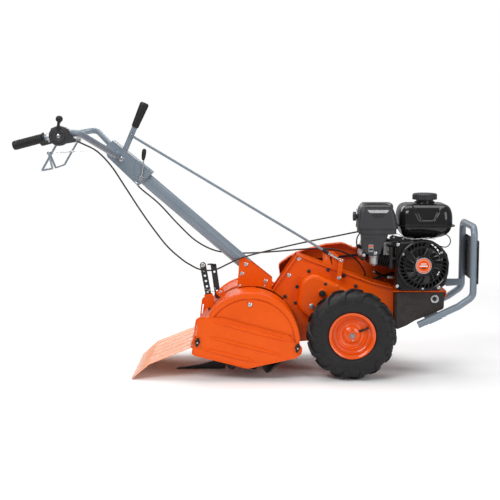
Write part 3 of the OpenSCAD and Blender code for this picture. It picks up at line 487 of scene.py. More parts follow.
def wheel(name, side):
    hub = facing(*AXLE, side * WHEEL_Y, 0, side)
    tyre = dressed("tyre_" + name, "tyre_visual_" + name)
    carcass = [(76.3, -44), (76.3, -30), (84, -30), (90, -49), (115, -54), (140, -54), (154, -43),
        (156, 0), (154, 43), (140, 54), (115, 54), (90, 49), (84, 30), (76.3, 30), (76.3, 44),
        (87.6, 48.5), (90, 52), (92.5, 55.5), (95, 56.5), (97, 58.6), (104, 60.2), (112, 61), (113, 61.8),
        (116, 61.8), (117, 61), (128, 60.6)]
    outside = [(r, y) for y, r in reversed(TREAD)] + [(160.2, 0)]
    carcass += outside + [(r, -z) for r, z in reversed(carcass[15:] + outside[:-1])]
    tyre.lathe(carcass, tyre_rubber, hub, 112)
    count = 14
    for row in (-1, 1):
        for k in range(count):
            start = 360 / count * (k + (0.5 if row > 0 else 0))
            rings = []
            for i, (y, r) in enumerate(TREAD):
                t = i / (len(TREAD) - 1)
                j = min(i + 1, len(TREAD) - 1), max(i - 1, 0)
                slope = Vector((TREAD[j[0]][1] - TREAD[j[1]][1],
                    TREAD[j[0]][0] - TREAD[j[1]][0])).normalized()
                out = (slope.y, -slope.x)
                angle = start - side * (17 * (1 - (1 - t) ** 1.7))
                high = 8.6 - 5.2 * t ** 2.2
                half = 6.2 + 3.4 * t
                ring = []
                for w, h in ((-half - 2, -1.5), (-half, high), (half, high), (half + 2, -1.5)):
                    rr, yy = r + out[0] * h, (y + out[1] * h) * row
                    a = radians(angle) + w / max(rr, 1)
                    ring.append((rr * cos(a), rr * sin(a), yy))
                rings.append(ring)
            tyre.loft(rings, tyre_rubber, hub)
    for k in range(24):
        a = radians(15 * k + 4)
        tyre.lathe([(0, 0), (1.1, 0), (0.8, 1.6), (0, 1.6)], tyre_rubber,
            hub @ moved((104 + 9 * (k % 3)) * cos(a), (104 + 9 * (k % 3)) * sin(a), 60), 8)
    tyre.done(1.3, 2, 30)
    rim = dressed("rim_" + name, "rim_visual_" + name)
    rim.lathe([(10.05, -24), (20, -24), (20, 5), (34, 7), (48, 8), (60, 10), (67, 13), (72.5, 8),
        (73, -46), (86, -52), (87, -49.5), (76, -44), (76, 44), (86.8, 49), (87.4, 50.6), (86.4, 52),
        (84, 51.6), (75.4, 46.6), (73.2, 43), (72.6, 28), (70.5, 22), (66, 19), (60, 19), (55.5, 21),
        (52.5, 22.6), (50, 21.6), (48.4, 18.4), (45, 16), (39.5, 15.4), (35.6, 16.6), (32.6, 20),
        (27, 24.4), (21, 26), (17.4, 28), (16.6, 30), (16.2, 42), (10.05, 42)], orange_gloss, hub, 128)
    rim.lathe([(0, 26), (3.6, 26), (3.6, 31), (2.6, 32), (0, 32)], zinc, hub @ moved(3, -19 * -side, 0),
        16)
    stem = [(28, 13, 21), (36, 16, 26), (46, 20.5, 28), (58, 26, 29)]
    rim.tube([(x, -z * side, y) for x, z, y in stem], [4.4, 4.2, 3.9, 3.6], rubber, 14, place=hub)
    rim.tube([(56, -25 * side, 28.9), (62, -28 * side, 29.3)], 4.2, rubber, 14, place=hub)
    rim.done(0.7)


wheel("right", -1)
wheel("left", 1)
axle = dressed("axle")
axle.lathe([(0, -236), (8.8, -236), (10, -234.8), (10, 234.8), (8.8, 236), (0, 236)], bare_steel,
    facing(*AXLE), 32)
axle.lathe(rod(50, -14, 14), bare_steel, facing(*AXLE), 48)
axle.done(0.5)

# ---------- tines ----------

def tine(part, y, turn, side):
    """One curved blade: a flat arm that bends to one side and sweeps back to its tip."""
    spine = [(0, 0, 30), (0, 0, 58), (-1, 1, 82), (-4, 4, 102), (-8, 11, 118), (-12, 21, 127),
        (-15, 32, 130), (-18, 41, 128)]
    wide = [19, 20, 26, 35, 40, 38, 30, 14]
    rings = []
    for i, p in enumerate(spine):
        a, b = Vector(spine[max(i - 1, 0)]), Vector(spine[min(i + 1, len(spine) - 1)])
        t = (b - a).normalized()
        u = Vector((1, 0, 0))
        u = (u - t * t.x).normalized()
        n = t.cross(u)
        ring = []
        for w, h in ((-1, 0), (-0.8, 3.6), (0.8, 3.6), (1, 0), (0.8, -3.6), (-0.8, -3.6)):
            q = Vector(p) + u * w * wide[i] + n * h
            ring.append((q.x, q.y * side, q.z))
        rings.append(ring)
    place = moved(TINE[0], y, TINE[1]) @ turned(turn, "Y")
    part.loft(rings, dark_steel, place)
    for z in (34, 52):
        for s in (-1, 1):
            part.solid(hexagon(6.5), 3, 8.5, zinc, place @ moved(0, 0, z) @ turned(90 * s, "X"))


for name, side, first in (("right", -1, 190), ("left", 1, 175)):
    tines = dressed("tines_" + name, "tines_visual_" + name)
    for k, y in enumerate((94, 186)):
        p = facing(*TINE, side * y, 0, 1)
        tines.lathe([(12.05, -24), (19, -24), (20, -23), (20, -5), (44, -5), (46, -4), (46, 4), (44, 5),
            (20, 5), (20, 23), (19, 24), (12.05, 24)], dark_steel, p, 48)
        for j in range(4):
            tine(tines, side * y, first + 41 * k + 90 * j, 1 if j % 2 == 0 else -1)
    tines.done(0.9)


# ---------- hood, shields and flap ----------
def on_hood(r, a):
    return (r * cos(radians(a)), TINE[1] + r * sin(radians(a)))


hood = dressed("hood")
top = [on_hood(HOOD_R, a) for a in np.linspace(-12, 150, 55)] + [(-217, 147)]
under = [(-214.4, 145.2)] + [on_hood(HOOD_INSIDE_R, a) for a in np.linspace(150, -12, 55)]
GAP = 62                              # half the opening over the drive case
for s in (-1, 1):
    hood.across(top + under, s * GAP, s * 240, orange)
front = [on_hood(HOOD_R, a) for a in np.linspace(84, 150, 24)] + [(-217, 147), (-214.4, 145.2)]
front += [on_hood(HOOD_INSIDE_R, a) for a in np.linspace(150, 84, 24)]
hood.across(front, -GAP, -46.5, orange)
hood.across(front, -21.5, GAP, orange)
hood.across([p for p in front if p[0] > -118 and p[1] > 255], -46.5, -21.5, orange)
side_sheet = [on_hood(181.5, a) for a in np.linspace(-12, 150, 45)] + [(-216, 146), (-222, 124),
    (-150, 106)]
for s in (-1, 1):
    hood.across(side_sheet, s * 236, s * 233, orange, [arc(*TINE, 21, 0, 342, 19)])
    band = soft([on_hood(182.6, a) for a in np.linspace(-11, 161, 60)]
        + [on_hood(168, a) for a in np.linspace(161, -11, 60)], 1)
    hood.across(band, s * 233, s * 242.6, orange)
    for off in (229, 219, 203):
        hood.tube([(x, s * off, z) for x, z in [on_hood(183.2, a) for a in np.linspace(4, 146, 60)]], 2.6,
            orange, 12)
    panel = [on_hood(163, a) for a in np.linspace(12, 84, 24)] + [(13, 301), (11, 288), (7.5, 279),
        (0, 275.5), (-7.5, 279), (-11, 288), (-13, 301)] + [on_hood(163, a)
        for a in np.linspace(96, 146, 20)]
    panel += [(-120, 180), (120, 170)]
    hood.across(soft(panel, 3, 3), s * 234, s * 239, orange)
for s in (-1, 1):
    hood.bolt(-1, 286, s * 236, 6.4, 7, zinc, s)
hood.lathe(rod(4, -237, 237), bare_steel, facing(*FLAP_HINGE, 0, 0, 1), 20)
hood.done(1.0)

shield_line = [(-187, 242), (-202, 232), (-217, 103), (-211, 98), (-16, 48), (-2, 48), (171, 88),
    (190, 103), (193, 123), (186, 137), (168, 143), (148, 170), (-100, 237)]
shields = dressed("side_shields")
knobs = dressed("wing_knobs")
for s in (-1, 1):
    outline = soft(shield_line, 16)
    slot_hole = wrapped([(-197.5, 206, 3.2), (-204.5, 163, 3.2)], 20)
    shields.across(outline, s * 243, s * SHIELD_Y, orange, [slot_hole])
    rolled = [Vector(p) for p in soft(shield_line, 16)]
    centre = Vector((-10, 145))
    ring = [p + (centre - p).normalized() * 3.2 for p in rolled]
    shields.tube([(p.x, s * 246.0, p.y) for p in ring], 2.6, orange, 10, closed=True)
    for a, b, r in (((-139, 226), (160, 148), 4.5), ((-153, 168), (114, 99), 4.5),
            ((-183, 124), (25, 73), 4.5)):
        run = [(a[0] + (b[0] - a[0]) * t, a[1] + (b[1] - a[1]) * t) for t in np.linspace(0, 1, 9)]
        width = [2, 5, 6.5, 7, 7.2, 7, 6.5, 5, 2]
        shields.tube([(x, s * 246.6, z) for x, z in run], width, orange, 16, flat=0.75)
    for x, z in ((-195, 148), (175, 127)):
        p = facing(x, z, s * SHIELD_Y, 0, s)
        knobs.lathe([(0, 0), (9.5, 0), (9.5, 2), (8, 3.4), (7, 9), (6, 14.6), (4.6, 15.8), (0, 15.8)],
            rubber, p, 32)
        knobs.solid(soft([(-17, 4.4), (-6, 6), (6, 6), (17, 4.4), (17, -4.4), (6, -6), (-6, -6),
            (-17, -4.4)], 4, 4), 4, 11, rubber, p @ turned(78 if s < 0 else 100, "Z"))
        knobs.lathe(rod(3, 15, 17.6), zinc, p, 16)
shields.done(0.9)
knobs.done(0.9)

flap = dressed("rear_flap")
flap_place = moved(FLAP_HINGE[0], 0, FLAP_HINGE[1]) @ turned(-22, "Y")
LENGTH = 178


def flap_point(along, up):
    """Place on the flap's top sheet, measured from its hinge."""
    if along <= LENGTH:
        return (-along, -6 + up)
    a = radians(18)
    d = along - LENGTH
    return (-LENGTH - d * cos(a) + up * -sin(a), -6 - d * sin(a) + up * cos(a))


ribs = [-196, -118, -39, 39, 118, 196]
ys = np.linspace(-225, 225, 121)
steps = [2, 8, 16, 24, 34, 60, 90, 120, 150, 165, 174, 178, 182, 190, 205, 225, 245, 260, 263]


def pressed(along, y):
    rise = 0.0
    for r in ribs:
        d = abs(y - r)
        wide = 8 + 3.5 * (1 - min(along, 240) / 240)
        if d < wide:
            rise = 4.4 * (0.5 + 0.5 * cos(pi * d / wide))
    ends = max(0.0, min(1.0, (along - 12) / 16)) * max(0.0, min(1.0, (236 - along) / 16))
    return rise * ends


top_side, low_side = [], []
for a in steps:
    top_side.append([(flap_point(a, pressed(a, y))[0], y, flap_point(a, pressed(a, y))[1]) for y in ys])
    low_side.append([(flap_point(a, pressed(a, y) - 2.8)[0], y, flap_point(a, pressed(a, y) - 2.8)[1])
        for y in ys])
rows = [list(t) + list(reversed(b)) for t, b in zip(top_side, low_side)]
flap.loft(rows, flap_orange_painted_light, flap_place, caps=False)
for ring in (0, -1):
    r = rows[ring]
    half = len(r) // 2
    strip = [[r[k], r[k + 1], r[-2 - k], r[-1 - k]] for k in range(half - 1)]
    flap.add([v for q in strip for v in q], [(4 * k, 4 * k + 1, 4 * k + 2, 4 * k + 3)
        for k in range(len(strip))], flap_orange_painted_light, flap_place)
for y in (-200, -70, 62, 192):
    p = flap_place @ moved(0, y, 0) @ turned(-90, "X")
    flap.lathe([(4.05, 0), (8.8, 0), (8.8, 16), (4.05, 16)], flap_orange_painted_light, p, 28)
    flap.box((-14, y, -8.8), (-2, y + 16, -4.5), flap_orange_painted_light, flap_place)
flap.tube([flap_place @ Vector((flap_point(262, -1.4)[0], y, flap_point(262, -1.4)[1]))
    for y in (-225, 225)], 2.0, flap_orange_painted_light, 10)
flap.done(0.5, 2, 40)

# ---------- depth stake and its bracket ----------
STAKE = moved(-184, STAKE_Y, 407) @ turned(-10.3, "Y")


stake = dressed("depth_stake")
bar = arc(0, 0, 11.5, 0, 180, 14) + [(-11.5, -398), (11.5, -398)]
stake.solid(bar, -4, 4, black_coat, STAKE @ SIDEWAYS, [hole(0, -21 * k, 4.5) for k in range(1, 10)])
stake.bolt(-184, 407, -38.2, 6.2, 5, zinc)
foot = soft([(-124, 40), (-101, 36), (-96, 22), (-100, 2.5), (-203, 1), (-289, 0.3), (-289, 4.5),
    (-203, 16), (-150, 30)], 3)
stake.across(foot, -40, -28, black_coat)
pin = STAKE @ moved(0, 0, -105) @ turned(90, "X")
stake.lathe(rod(4.6, -12, 12), zinc, pin, 20)
clip = [(0, -10.5, 0), (5, -10.5, 3), (12, -10.5, 12), (22, -10.5, 16), (31, -10.5, 8), (24, -10.5, -2),
    (14, -10.5, 1), (2, -10.5, 9), (-10, -10.5, 14)]
stake.tube([(STAKE @ moved(0, 0, -105)) @ v for v in curve(clip, 6)], 1.1, zinc, 8)
stake.done(0.7)

bracket = dressed("stake_bracket")
for y0, y1 in ((-10, -4.6), (4.6, 10)):
    bracket.solid(rect(32, 52, 4, 0, -140), y0, y1, orange, STAKE @ SIDEWAYS, [hole(0, -126, 4.6)])
for x0, x1 in ((-16, -12.1), (12.1, 16)):
    bracket.box((x0, -9.5, -167), (x1, 9.5, -115), orange, STAKE)
bracket.across(soft([(-112, 322), (-97, 296), (-117, 282), (-136, 300)], 4), -42, -38.2, orange)
bracket.across(soft([(-112, 322), (-97, 296), (-117, 282), (-136, 300)], 4), -29.8, -26, orange)
bracket.bolt(-116, 303, -42, 5, 4.5, zinc)
second = moved(-144, STAKE_Y, 411) @ turned(-8, "Y")
bracket.solid(soft([(-11, 0), (11, 0), (11, -134), (-11, -134)], 3), -4, 4, black_coat, second @ SIDEWAYS,
    [hole(0, -30, 4.5), hole(0, -105, 4.5)])
bracket.tube([(-166, -34, 409.6), (-158, -34, 411), (-146, -34, 411)], 2.6, black_coat, 10)
bracket.across(soft([(-167, 412), (-137, 412), (-133, 404), (-144, 404), (-147, 407.6), (-167, 407.6)],
    2), -38, -30, black_coat)
bracket.done(0.7)


# ---------- gearbox, frame and belt drive ----------
DOMES = [(243, 322), (236, 270), (350, 271), (378, 169)]


def dome_line(grow, n=96):
    return wrapped([(x, z, 56 + grow) for x, z in DOMES], n)


def domed(part, levels, finish):
    """Skins outlines of the gearbox cover; levels are (y, growth)."""
    rings = [[(x, y, z) for x, z in dome_line(g)] for y, g in levels]
    part.loft(rings, finish, caps=False)
    last = rings[-1]
    part.add(last, [tuple(range(len(last)))], finish)


for name, side, deep in (("right", -1, 98), ("left", 1, 60)):
    cover = dressed("gearbox_cover_" + name, "gearbox_cover_visual_" + name)
    cover.solid(dome_line(14), 43, 46.2, orange, turned(90, "X") if side < 0 else turned(90, "X")
        @ Matrix.Scale(-1, 4, (0, 0, 1)))
    soft_edge = [(deep - 17 + 17 * sin(radians(a)), -17 + 17 * cos(radians(a))) for a in range(0, 91, 10)]
    levels = [(46, 6), (48, 3), (51, 0.8), (55, 0)] + [(y, g) for y, g in soft_edge if y > 55]
    domed(cover, [(side * y, g) for y, g in levels], orange)
    p = facing(273, 307, side * deep, 0, side)
    cover.lathe([(0, -4), (23, -4), (20, -1), (17.6, 2), (16.6, 5), (15.6, 6), (0, 6)], orange, p, 48)
    p = facing(*AXLE, side * deep, 0, side)
    cover.lathe([(10.1, -3), (30, -3), (26, 1), (24.4, 5), (23, 8), (10.1, 8)], orange, p, 56)
    cover.lathe([(10.1, 6), (17, 6), (17, 8.6), (10.1, 8.6)], belt_rubber, p, 40)
    for x, z in ((205, 300), (330, 330)):
        cover.lathe([(0, -5), (12, -5), (9, -1), (7, 0.6), (0, 0.6)], orange,
            facing(x, z, side * (deep - 1), 0, side), 32)
    cover.done(0.7, 2, 40)

bolt_part = dressed("gearbox_bolts")
for x, z in ((224, 385), (179, 325), (173, 262), (298, 391), (359, 367), (405, 328), (133, 287)):
    bolt_part.bolt(x, z, -46.2, 5.6, 5.6, black_coat)
for x, z in ((224, 385), (179, 325), (173, 262)):
    bolt_part.bolt(x, z, 46.2, 5.6, 5.6, black_coat, 1)
bolt_part.bolt(273, 307, -104, 11, 8, black_coat, washer=1.15)
bolt_part.bolt(233, 257, -98, 8, 8, zinc, washer=1.25)
bolt_part.bolt(285, 343, -97.6, 5, 4, black_coat)
bolt_part.done(0.5)

plates = dressed("frame_plates")
hood_cut = [on_hood(185.5, a) for a in range(30, 73, 3)]
edge = [(178, 450), (82, 310)] + hood_cut[::-1][2:] + [(199, 172), (420, 150), (470, 176), (550, 180),
    (550, 318), (466, 344)]
for s in (-1, 1):
    plates.across(soft(edge, 5), s * 40.2, s * 43, orange)
    lip = soft([(178, 450.5), (466, 345), (548, 323), (548, 318), (465, 339), (176, 445)], 2)
    plates.across(lip, s * 42, s * 55, orange)
    plates.across([(176, 450), (82, 311), (85, 308), (180, 444)], s * 42, s * 52, orange)
plates.across([(178, 450), (466, 344), (465, 341), (177, 447)], -41, 41, orange)
for x, z in ((185, 434), (147, 369)):
    for s in (-1, 1):
        plates.bolt(x, z, s * 43, 6.3, 5, zinc, s)
plates.box((444, 43, 322), (456, 66, 330), orange)
plates.lathe(rod(4, 43, 86), zinc, facing(*IDLER, 0, 0, 1), 20)
plates.done(0.8)

seat = dressed("engine_plate")
seat.solid([(543, -96), (745, -96), (745, 62), (543, 62)], 312, 317, orange)
seat.box((741, -96, 292), (745, 62, 317), orange)
seat.done(0.8)

weight = dressed("counterweight")
line = soft([(553, 310), (739, 310), (737, 251), (732, 245), (627, 201), (596, 182), (562, 168),
    (553, 172)], 5)
for a, b in ((-92, -46), (-44, -2), (0, 60)):
    weight.across(line, a, b, iron)
weight.across(soft([(556, 306), (736, 306), (733, 254), (626, 206), (594, 187), (566, 173), (558, 176)],
    5), -50, 56, iron)
weight.across(soft([(557, 309), (574, 309), (581, 262), (602, 196), (586, 184), (564, 175), (556, 178)],
    5), -96, -91, iron)
# the dark strips on the counterweight's face are painted shade: they stand for the shade in its grooves
# and along the fold of its flank
for x0, x1, z in ((579, 668, 290), (588, 664, 266), (588, 660, 262), (618, 666, 241), (612, 660, 236)):
    weight.across(wrapped([(x0, z, 1.5), (x1, z, 1.5)], 20), -92.5, -91.5, black_coat)
weight.across(soft([(572, 305), (577, 262), (598, 200), (603, 201), (583, 262), (577, 305)], 2), -93.4,
    -91, black_coat)
weight.lathe(rod(21, 0, 0.8), black_coat, facing(703, 284, -92), 40)
p = facing(701, 286, -92)
weight.lathe([(0, 0), (16.6, 0), (16.6, 3), (14.6, 4.6), (12, 4.8), (11, 3.4), (0, 3.4)], zinc, p, 40)
weight.bolt(701, 286, -95, 7.4, 5, black_coat, washer=1.2)
weight.done(1.1)

cover = dressed("belt_cover")
line = [(108, 397), (120, 312), (150, 262), (215, 238), (300, 246), (430, 252), (520, 262), (690, 340),
    (726, 392), (730, 440), (700, 482), (647, 500), (560, 494), (425, 464), (405, 462), (372, 478),
    (356, 482), (295, 476), (201, 452), (153, 429)]
outer = soft(line, 26, 7)


def shrunk(points, d):
    """The outline moved inwards by d along its own normals."""
    out = []
    for i, p in enumerate(points):
        t = (Vector(points[(i + 1) % len(points)]) - Vector(points[i - 1])).normalized()
        out.append((p[0] - t.y * d, p[1] + t.x * d))
    return out


rings = []
for y, d in [(66, 0), (105, 0)] + [(105 + 16 * sin(radians(a)), 16 - 16 * cos(radians(a)))
        for a in range(15, 91, 15)]:
    rings.append([(x, y, z) for x, z in shrunk(outer, d)])
cover.loft(rings, orange, caps=False)
cover.add(rings[-1], [tuple(range(len(outer)))], orange)
inner = [[(x, 66, z) for x, z in shrunk(outer, 3)], [(x, 104, z) for x, z in shrunk(outer, 3)]]
cover.loft(inner, orange, caps=False)
cover.add(inner[-1], [tuple(range(len(outer)))], orange)
cover.loft([rings[0], inner[0]], orange, caps=False)
# the dark slots on the belt cover are painted shade: black patches stand for vent openings, which are not
# cut
for i, (x, z, turn) in enumerate([(200 + 21 * k, 352 + 3 * k, 18) for k in range(7)]):
    painted_shade_slot = wrapped([(-18, 0, 3.4), (18, 0, 3.4)], 24)
    cover.solid(painted_shade_slot, 0, 1.4, black_coat, facing(x, z, 120.7, 70, 1))
for x, z in ((150, 330), (250, 262), (520, 290), (700, 430), (560, 470), (300, 450)):
    cover.bolt(x, z, 121, 5, 4, black_coat, 1)
for x, z in ((222, 459), (268, 468), (330, 480), (371, 476), (410, 463)):
    cover.lathe([(0, 0), (4.2, 0), (3.6, 1.8), (0, 1.8)], black_coat, moved(x, 82, z - 1.5)
        @ turned(-12, "Y"), 20)
for x, z in ((250, 462), (390, 468)):
    cover.solid(wrapped([(-9, 0, 2.6), (9, 0, 2.6)], 20), 0, 1, black_coat,
        moved(x, 96, z) @ turned(-12, "Y"))
cover.done(0.8, 2, 40)


# ---------- column and gear linkage ----------
COLUMN = moved(PIVOT[0], 0, PIVOT[1]) @ turned(40.6, "Y")
column = dressed("column")
column.lathe([(22, -34), (24, -34), (25, -33), (25, 632), (22, 632)], grey_coat, COLUMN @ turned(90, "Y"),
    72)
column.tube([COLUMN @ Vector((x, -1.5, -24.6)) for x in (140, 630)], 1.6, grey_coat, 8)
column.done(0.6)

base = dressed("column_base")
lower = [on_hood(186, a) for a in range(64, 108, 3)]
flank = soft([(-49, 421), (-40, 431), (-20, 436), (84, 353), lower[0]], 7)
flank = flank[:-6] + lower
for s in (-1, 1):
    base.across(flank, s * 25.4, s * 29.2, orange)
    foot = lower + [(x * 1.017, 142 + (z - 142) * 1.017) for x, z in reversed(lower)]
    base.across(foot, s * 25.4, s * 49, orange)
    for p in ((-18, 409), (-33, 373), (58, 344)):
        base.bolt(*p, s * 29.2, 6.2, 5, zinc, s)
    for a in (74, 102):
        p = (moved(on_hood(186, a)[0], s * 38, on_hood(186, a)[1]) @ turned(90 - a, "Y"))
        base.lathe(rod(9, 0, 1.6), zinc, p, 24)
        base.solid(hexagon(6.8), 1, 7, zinc, p)
        base.lathe([(0, 7), (3.6, 7), (3.4, 10), (0, 10)], zinc, p, 16)
base.done(0.8)

selector = dressed("selector_bracket")
face = soft([(277, 462), (318, 462), (336, 448), (336, 395), (277, 417)], 4)
selector.across(face, -57, -54, orange, [wrapped([(306, 440, 3.4), (312, 412, 3.4)], 24)])
selector.across([(277, 420), (280, 419), (280, 462), (277, 462)], -56, -42, orange)
selector.across([(277, 459), (318, 459), (318, 462), (277, 462)], -56, -42, orange)
selector.across([(333, 397), (336, 396), (336, 448), (333, 448)], -56, -42, orange)
for x, z, w in ((286, 449, 7), (286, 441, 9), (286, 433, 7)):
    selector.across(rect(w, 2.2, 1, x + w / 2, z), -57.6, -56.8, cast_metal)
selector.lathe(rod(4, 43, 80), zinc, facing(*SELECTOR), 20)
selector.bolt(*SELECTOR, -80.3, 5.5, 4, zinc)
selector.done(0.7)

arm = dressed("selector_arm")
limb = wrapped([(*SELECTOR, 8), (*ROD_PIN, 8)], 40)
for y0, y1 in ((-80, -75), (-64, -59)):
    arm.across(limb, y0, y1, orange, [hole(*SELECTOR, 4.1)])
arm.across(soft([(329, 372), (345, 370), (350, 408), (334, 411)], 2), -76, -63, orange)
arm.lathe(rod(3.5, 77, 62), zinc, facing(*ROD_PIN), 20)
arm.lathe([(0, 80), (5.6, 80), (5.6, 83), (4, 84), (0, 84)], zinc, facing(*ROD_PIN), 20)
arm.done(0.7)

shift = dressed("shift_rod")
a, b = Vector((ROD_EYE[0], -37, ROD_EYE[1])), Vector((ROD_PIN[0], -69.5, ROD_PIN[1]))
way = (b - a).normalized()
shift.tube([a + way * 6, a + way * 700], 4.9, grey_coat, 20)
shift.tube([a + way * 698, a + way * 850], 4.7, grey_coat, 20)
shift.tube([a + way * 872, a + way * 918], 4.9, zinc, 20)
shift.tube([a + way * 868, a + way * 880], 6.4, zinc, 6)
shift.tube([a + way * 846, a + way * 872], 6.6, rubber, 20)
shift.lathe([(4.06, -6), (7.4, -6), (8, -5), (8, 5), (7.4, 6), (4.06, 6)], grey_coat,
    facing(*ROD_EYE, -37), 28)
shift.lathe([(5.5, -3.8), (8.4, -3.8), (9, -3), (9, 3), (8.4, 3.8), (5.5, 3.8)], zinc,
    facing(*ROD_PIN, -69.5), 28)
shift.done(0.5)

LEVER = (moved(PIVOT[0], -28, PIVOT[1]) @ turned(23.6, "Y"))
lever = dressed("gear_lever")
strap = arc(0, 0, 13, 180, 360, 14) + [(10.5, 13), (10.5, 150), (-10.5, 150), (-10.5, 13)]
lever.solid(strap, -2.5, 2.5, grey_coat, LEVER @ SIDEWAYS, [hole(0, 0, 6.1)])
knob = [(0, 0), (12.6, 0), (13.8, 1.5), (14.6, 22), (15.6, 45), (16.6, 70), (17.4, 88), (17.2, 93),
    (15.4, 97.5), (11.5, 99.6), (5, 100), (0, 100)]
lever.lathe(knob, rubber, LEVER @ moved(0, 0, 132) @ Matrix.Scale(0.82, 4, (0, 1, 0)), 48)
lever.lathe([(0, 25.5), (3.95, 25.5), (3.95, 44), (3, 46), (0, 46)], zinc, facing(*ROD_EYE), 20)
lever.solid(hexagon(6.4), 43.2, 46, zinc, facing(*ROD_EYE))
lever.done(0.8)

# ---------- handlebars ----------
channel = dressed("handle_channel")
flank = soft([(-69, 31.5), (-78, -4.7), (-45, -28.4), (104, -37), (117, -33), (125, 37.3)], 6)
cut = hole(0, 0, 6.1)
square_hole = rect(9, 9, 0.8, 102, -29)
for s in (-1, 1):
    lo, hi = sorted((-s * 32, -s * 35))
    holes = [cut] + ([square_hole, hole(105, -6, 4.1)] if s < 0 else [])
    channel.solid(flank, lo, hi, grey_coat, COLUMN @ SIDEWAYS, holes)
    crease = curve([(48, s * 34.4, 33), (56, s * 34.6, 12), (70, s * 34.6, -8), (92, s * 34.6, -24)], 6)
    channel.tube([COLUMN @ p for p in crease], 1.6, grey_coat, 10)
top_line = [(-69, 28.4), (-40, 29.3), (-40, 32.3), (-69, 31.4)]
channel.solid(top_line, -34.5, 34.5, grey_coat, COLUMN @ SIDEWAYS)
channel.solid([(18, 31), (125, 34.2), (125, 37.2), (18, 34)], -34.5, 34.5, grey_coat, COLUMN @ SIDEWAYS)
channel.solid([(-40, 29.3), (18, 31), (18, 34), (-40, 32.3)], -34.5, 21, grey_coat, COLUMN @ SIDEWAYS)
for s in (-1, 1):
    channel.tube([COLUMN @ Vector(p) for p in ((-70, s * 33.6, 30.6), (125, s * 33.6, 36.2))], 2.2,
        grey_coat, 12)
    channel.bolt(*PIVOT, s * 35.4, 7, 5, zinc, s)
channel.done(0.6)

BAR = [(-509, -35.3, 829), (-509, -60, 829), (-627, -262, 922), (-748, -262, 899), (-856, -262, 871)]
tubes = dressed("handle_tubes")
for s in (-1, 1):
    line = bent([(x, -s * y, z) for x, y, z in BAR], 45, 12)
    tubes.tube(line, 11.9, grey_coat, 32)
    tubes.lathe([(11.9, 0), (17, 0), (15, 3), (12.6, 6), (11.9, 6)], grey_coat,
        aim((-509, s * 35.2, 829), (-509, s * 60, 829)), 32)
    lug = wrapped([(-704, 905, 9), (-700, 880, 9)], 32)
    tubes.across(lug, s * 257, s * 267, cast_metal, [hole(*BAIL_PIVOT, 4.1)])
    tubes.tube([(-733, s * 262, 902.3), (-726, s * 262, 903.6), (-719, s * 262, 904.8)], 13.8, cast_metal,
        32)
    tubes.bolt(-726, 889, s * 262 - 5, 3.6, 4, zinc)
tubes.done(0.6)

grips = dressed("grips")
for s in (-1, 1):
    place = aim((-742, s * 262, 900.6), (-858, s * 262, 870.5))
    body = [(12.05, 0), (19.5, 0), (20, 1.4), (19.6, 5), (17, 7.5)]
    for k in range(13):
        z = 12 + 7.2 * k
        body += [(16.2, z - 1.6), (15.3, z), (16.2, z + 1.6)]
    body += [(16.8, 106), (17, 111), (16.2, 115), (13.6, 118.6), (9, 120.3), (0, 120.6)]
    grips.lathe(body, rubber, place, 40)
    for k in range(12):
        a = radians(30 * k)
        grips.tube([place @ Vector((15.8 * cos(a), 15.8 * sin(a), z)) for z in (9, 106)], 1.0, rubber, 6)
grips.done(0.4, 1)

THROTTLE = (-688, 907)
housing = dressed("throttle_housing")
p = facing(*THROTTLE, 0)
housing.lathe([(0, 254), (34, 254), (36, 256), (36, 283), (34.6, 285), (32, 285.8), (28, 286), (0, 286)],
    charcoal, p, 64)
shell = soft([(-716, 936), (-664, 939), (-656, 892), (-690, 886), (-718, 898)], 7)
housing.across(shell, -284, -247, charcoal)
nose = soft([(-686, 938), (-656, 933), (-638, 901), (-624, 894), (-627, 885), (-676, 877), (-700, 876)],
    3)
housing.across(nose, -285.6, -250, charcoal)
for k in range(4):
    housing.across(rect(9, 2.6, 1, -650 - 0.8 * k, 900 + 8 * k), -286, -285.2, black_coat)
housing.done(0.9)

throttle = dressed("throttle_lever")
throttle.lathe([(0, 286.4), (23, 286.4), (24, 287.4), (24, 289.6), (22.6, 291), (11, 291.4), (9, 290.4),
    (0, 290.4)], charcoal, p, 56)
throttle.lathe([(0, 290), (7, 290), (6.6, 292.6), (4, 293.6), (0, 293.8)], zinc, p, 28)
throttle.solid(rect(9, 1.8, 0.6), 293.2, 294.4, dark_steel, p)
throttle.loft([[(-688 + 1.5 * t + (8 - 3.5 * t) * cos(a), -289.4 + 0.8 * t + 2.6 * sin(a), 924 + 34 * t)
    for a in np.linspace(0, 2 * pi, 17)[:-1]] for t in np.linspace(0, 1, 6)], rubber)
ball = [(0, -15), (4.6, -14.6), (5.2, -11), (7.6, -9), (11, -6.4), (12.8, -2), (13, 1), (12, 5.6),
    (9.2, 9.6), (5, 12.2), (0, 13)]
throttle.lathe(ball, rubber, upright(-684, -288, 967), 40)
throttle.done(0.5)

BAIL = [(-700, -272, 880), (-700, -248, 880), (-757, -245, 782), (-757, -34, 779), (-775, -9, 836),
    (-775, 9, 836), (-757, 34, 779), (-757, 245, 782), (-700, 248, 880), (-700, 272, 880)]
bail = dressed("bail")
bail.tube(bent(BAIL, 8, 8), 3.95, grey_coat, 20)
for s in (-1, 1):
    bail.lathe(rod(5.6, 266, 269), zinc, facing(*BAIL_PIVOT, 0, 0, s), 20)
bail.done(0.4)

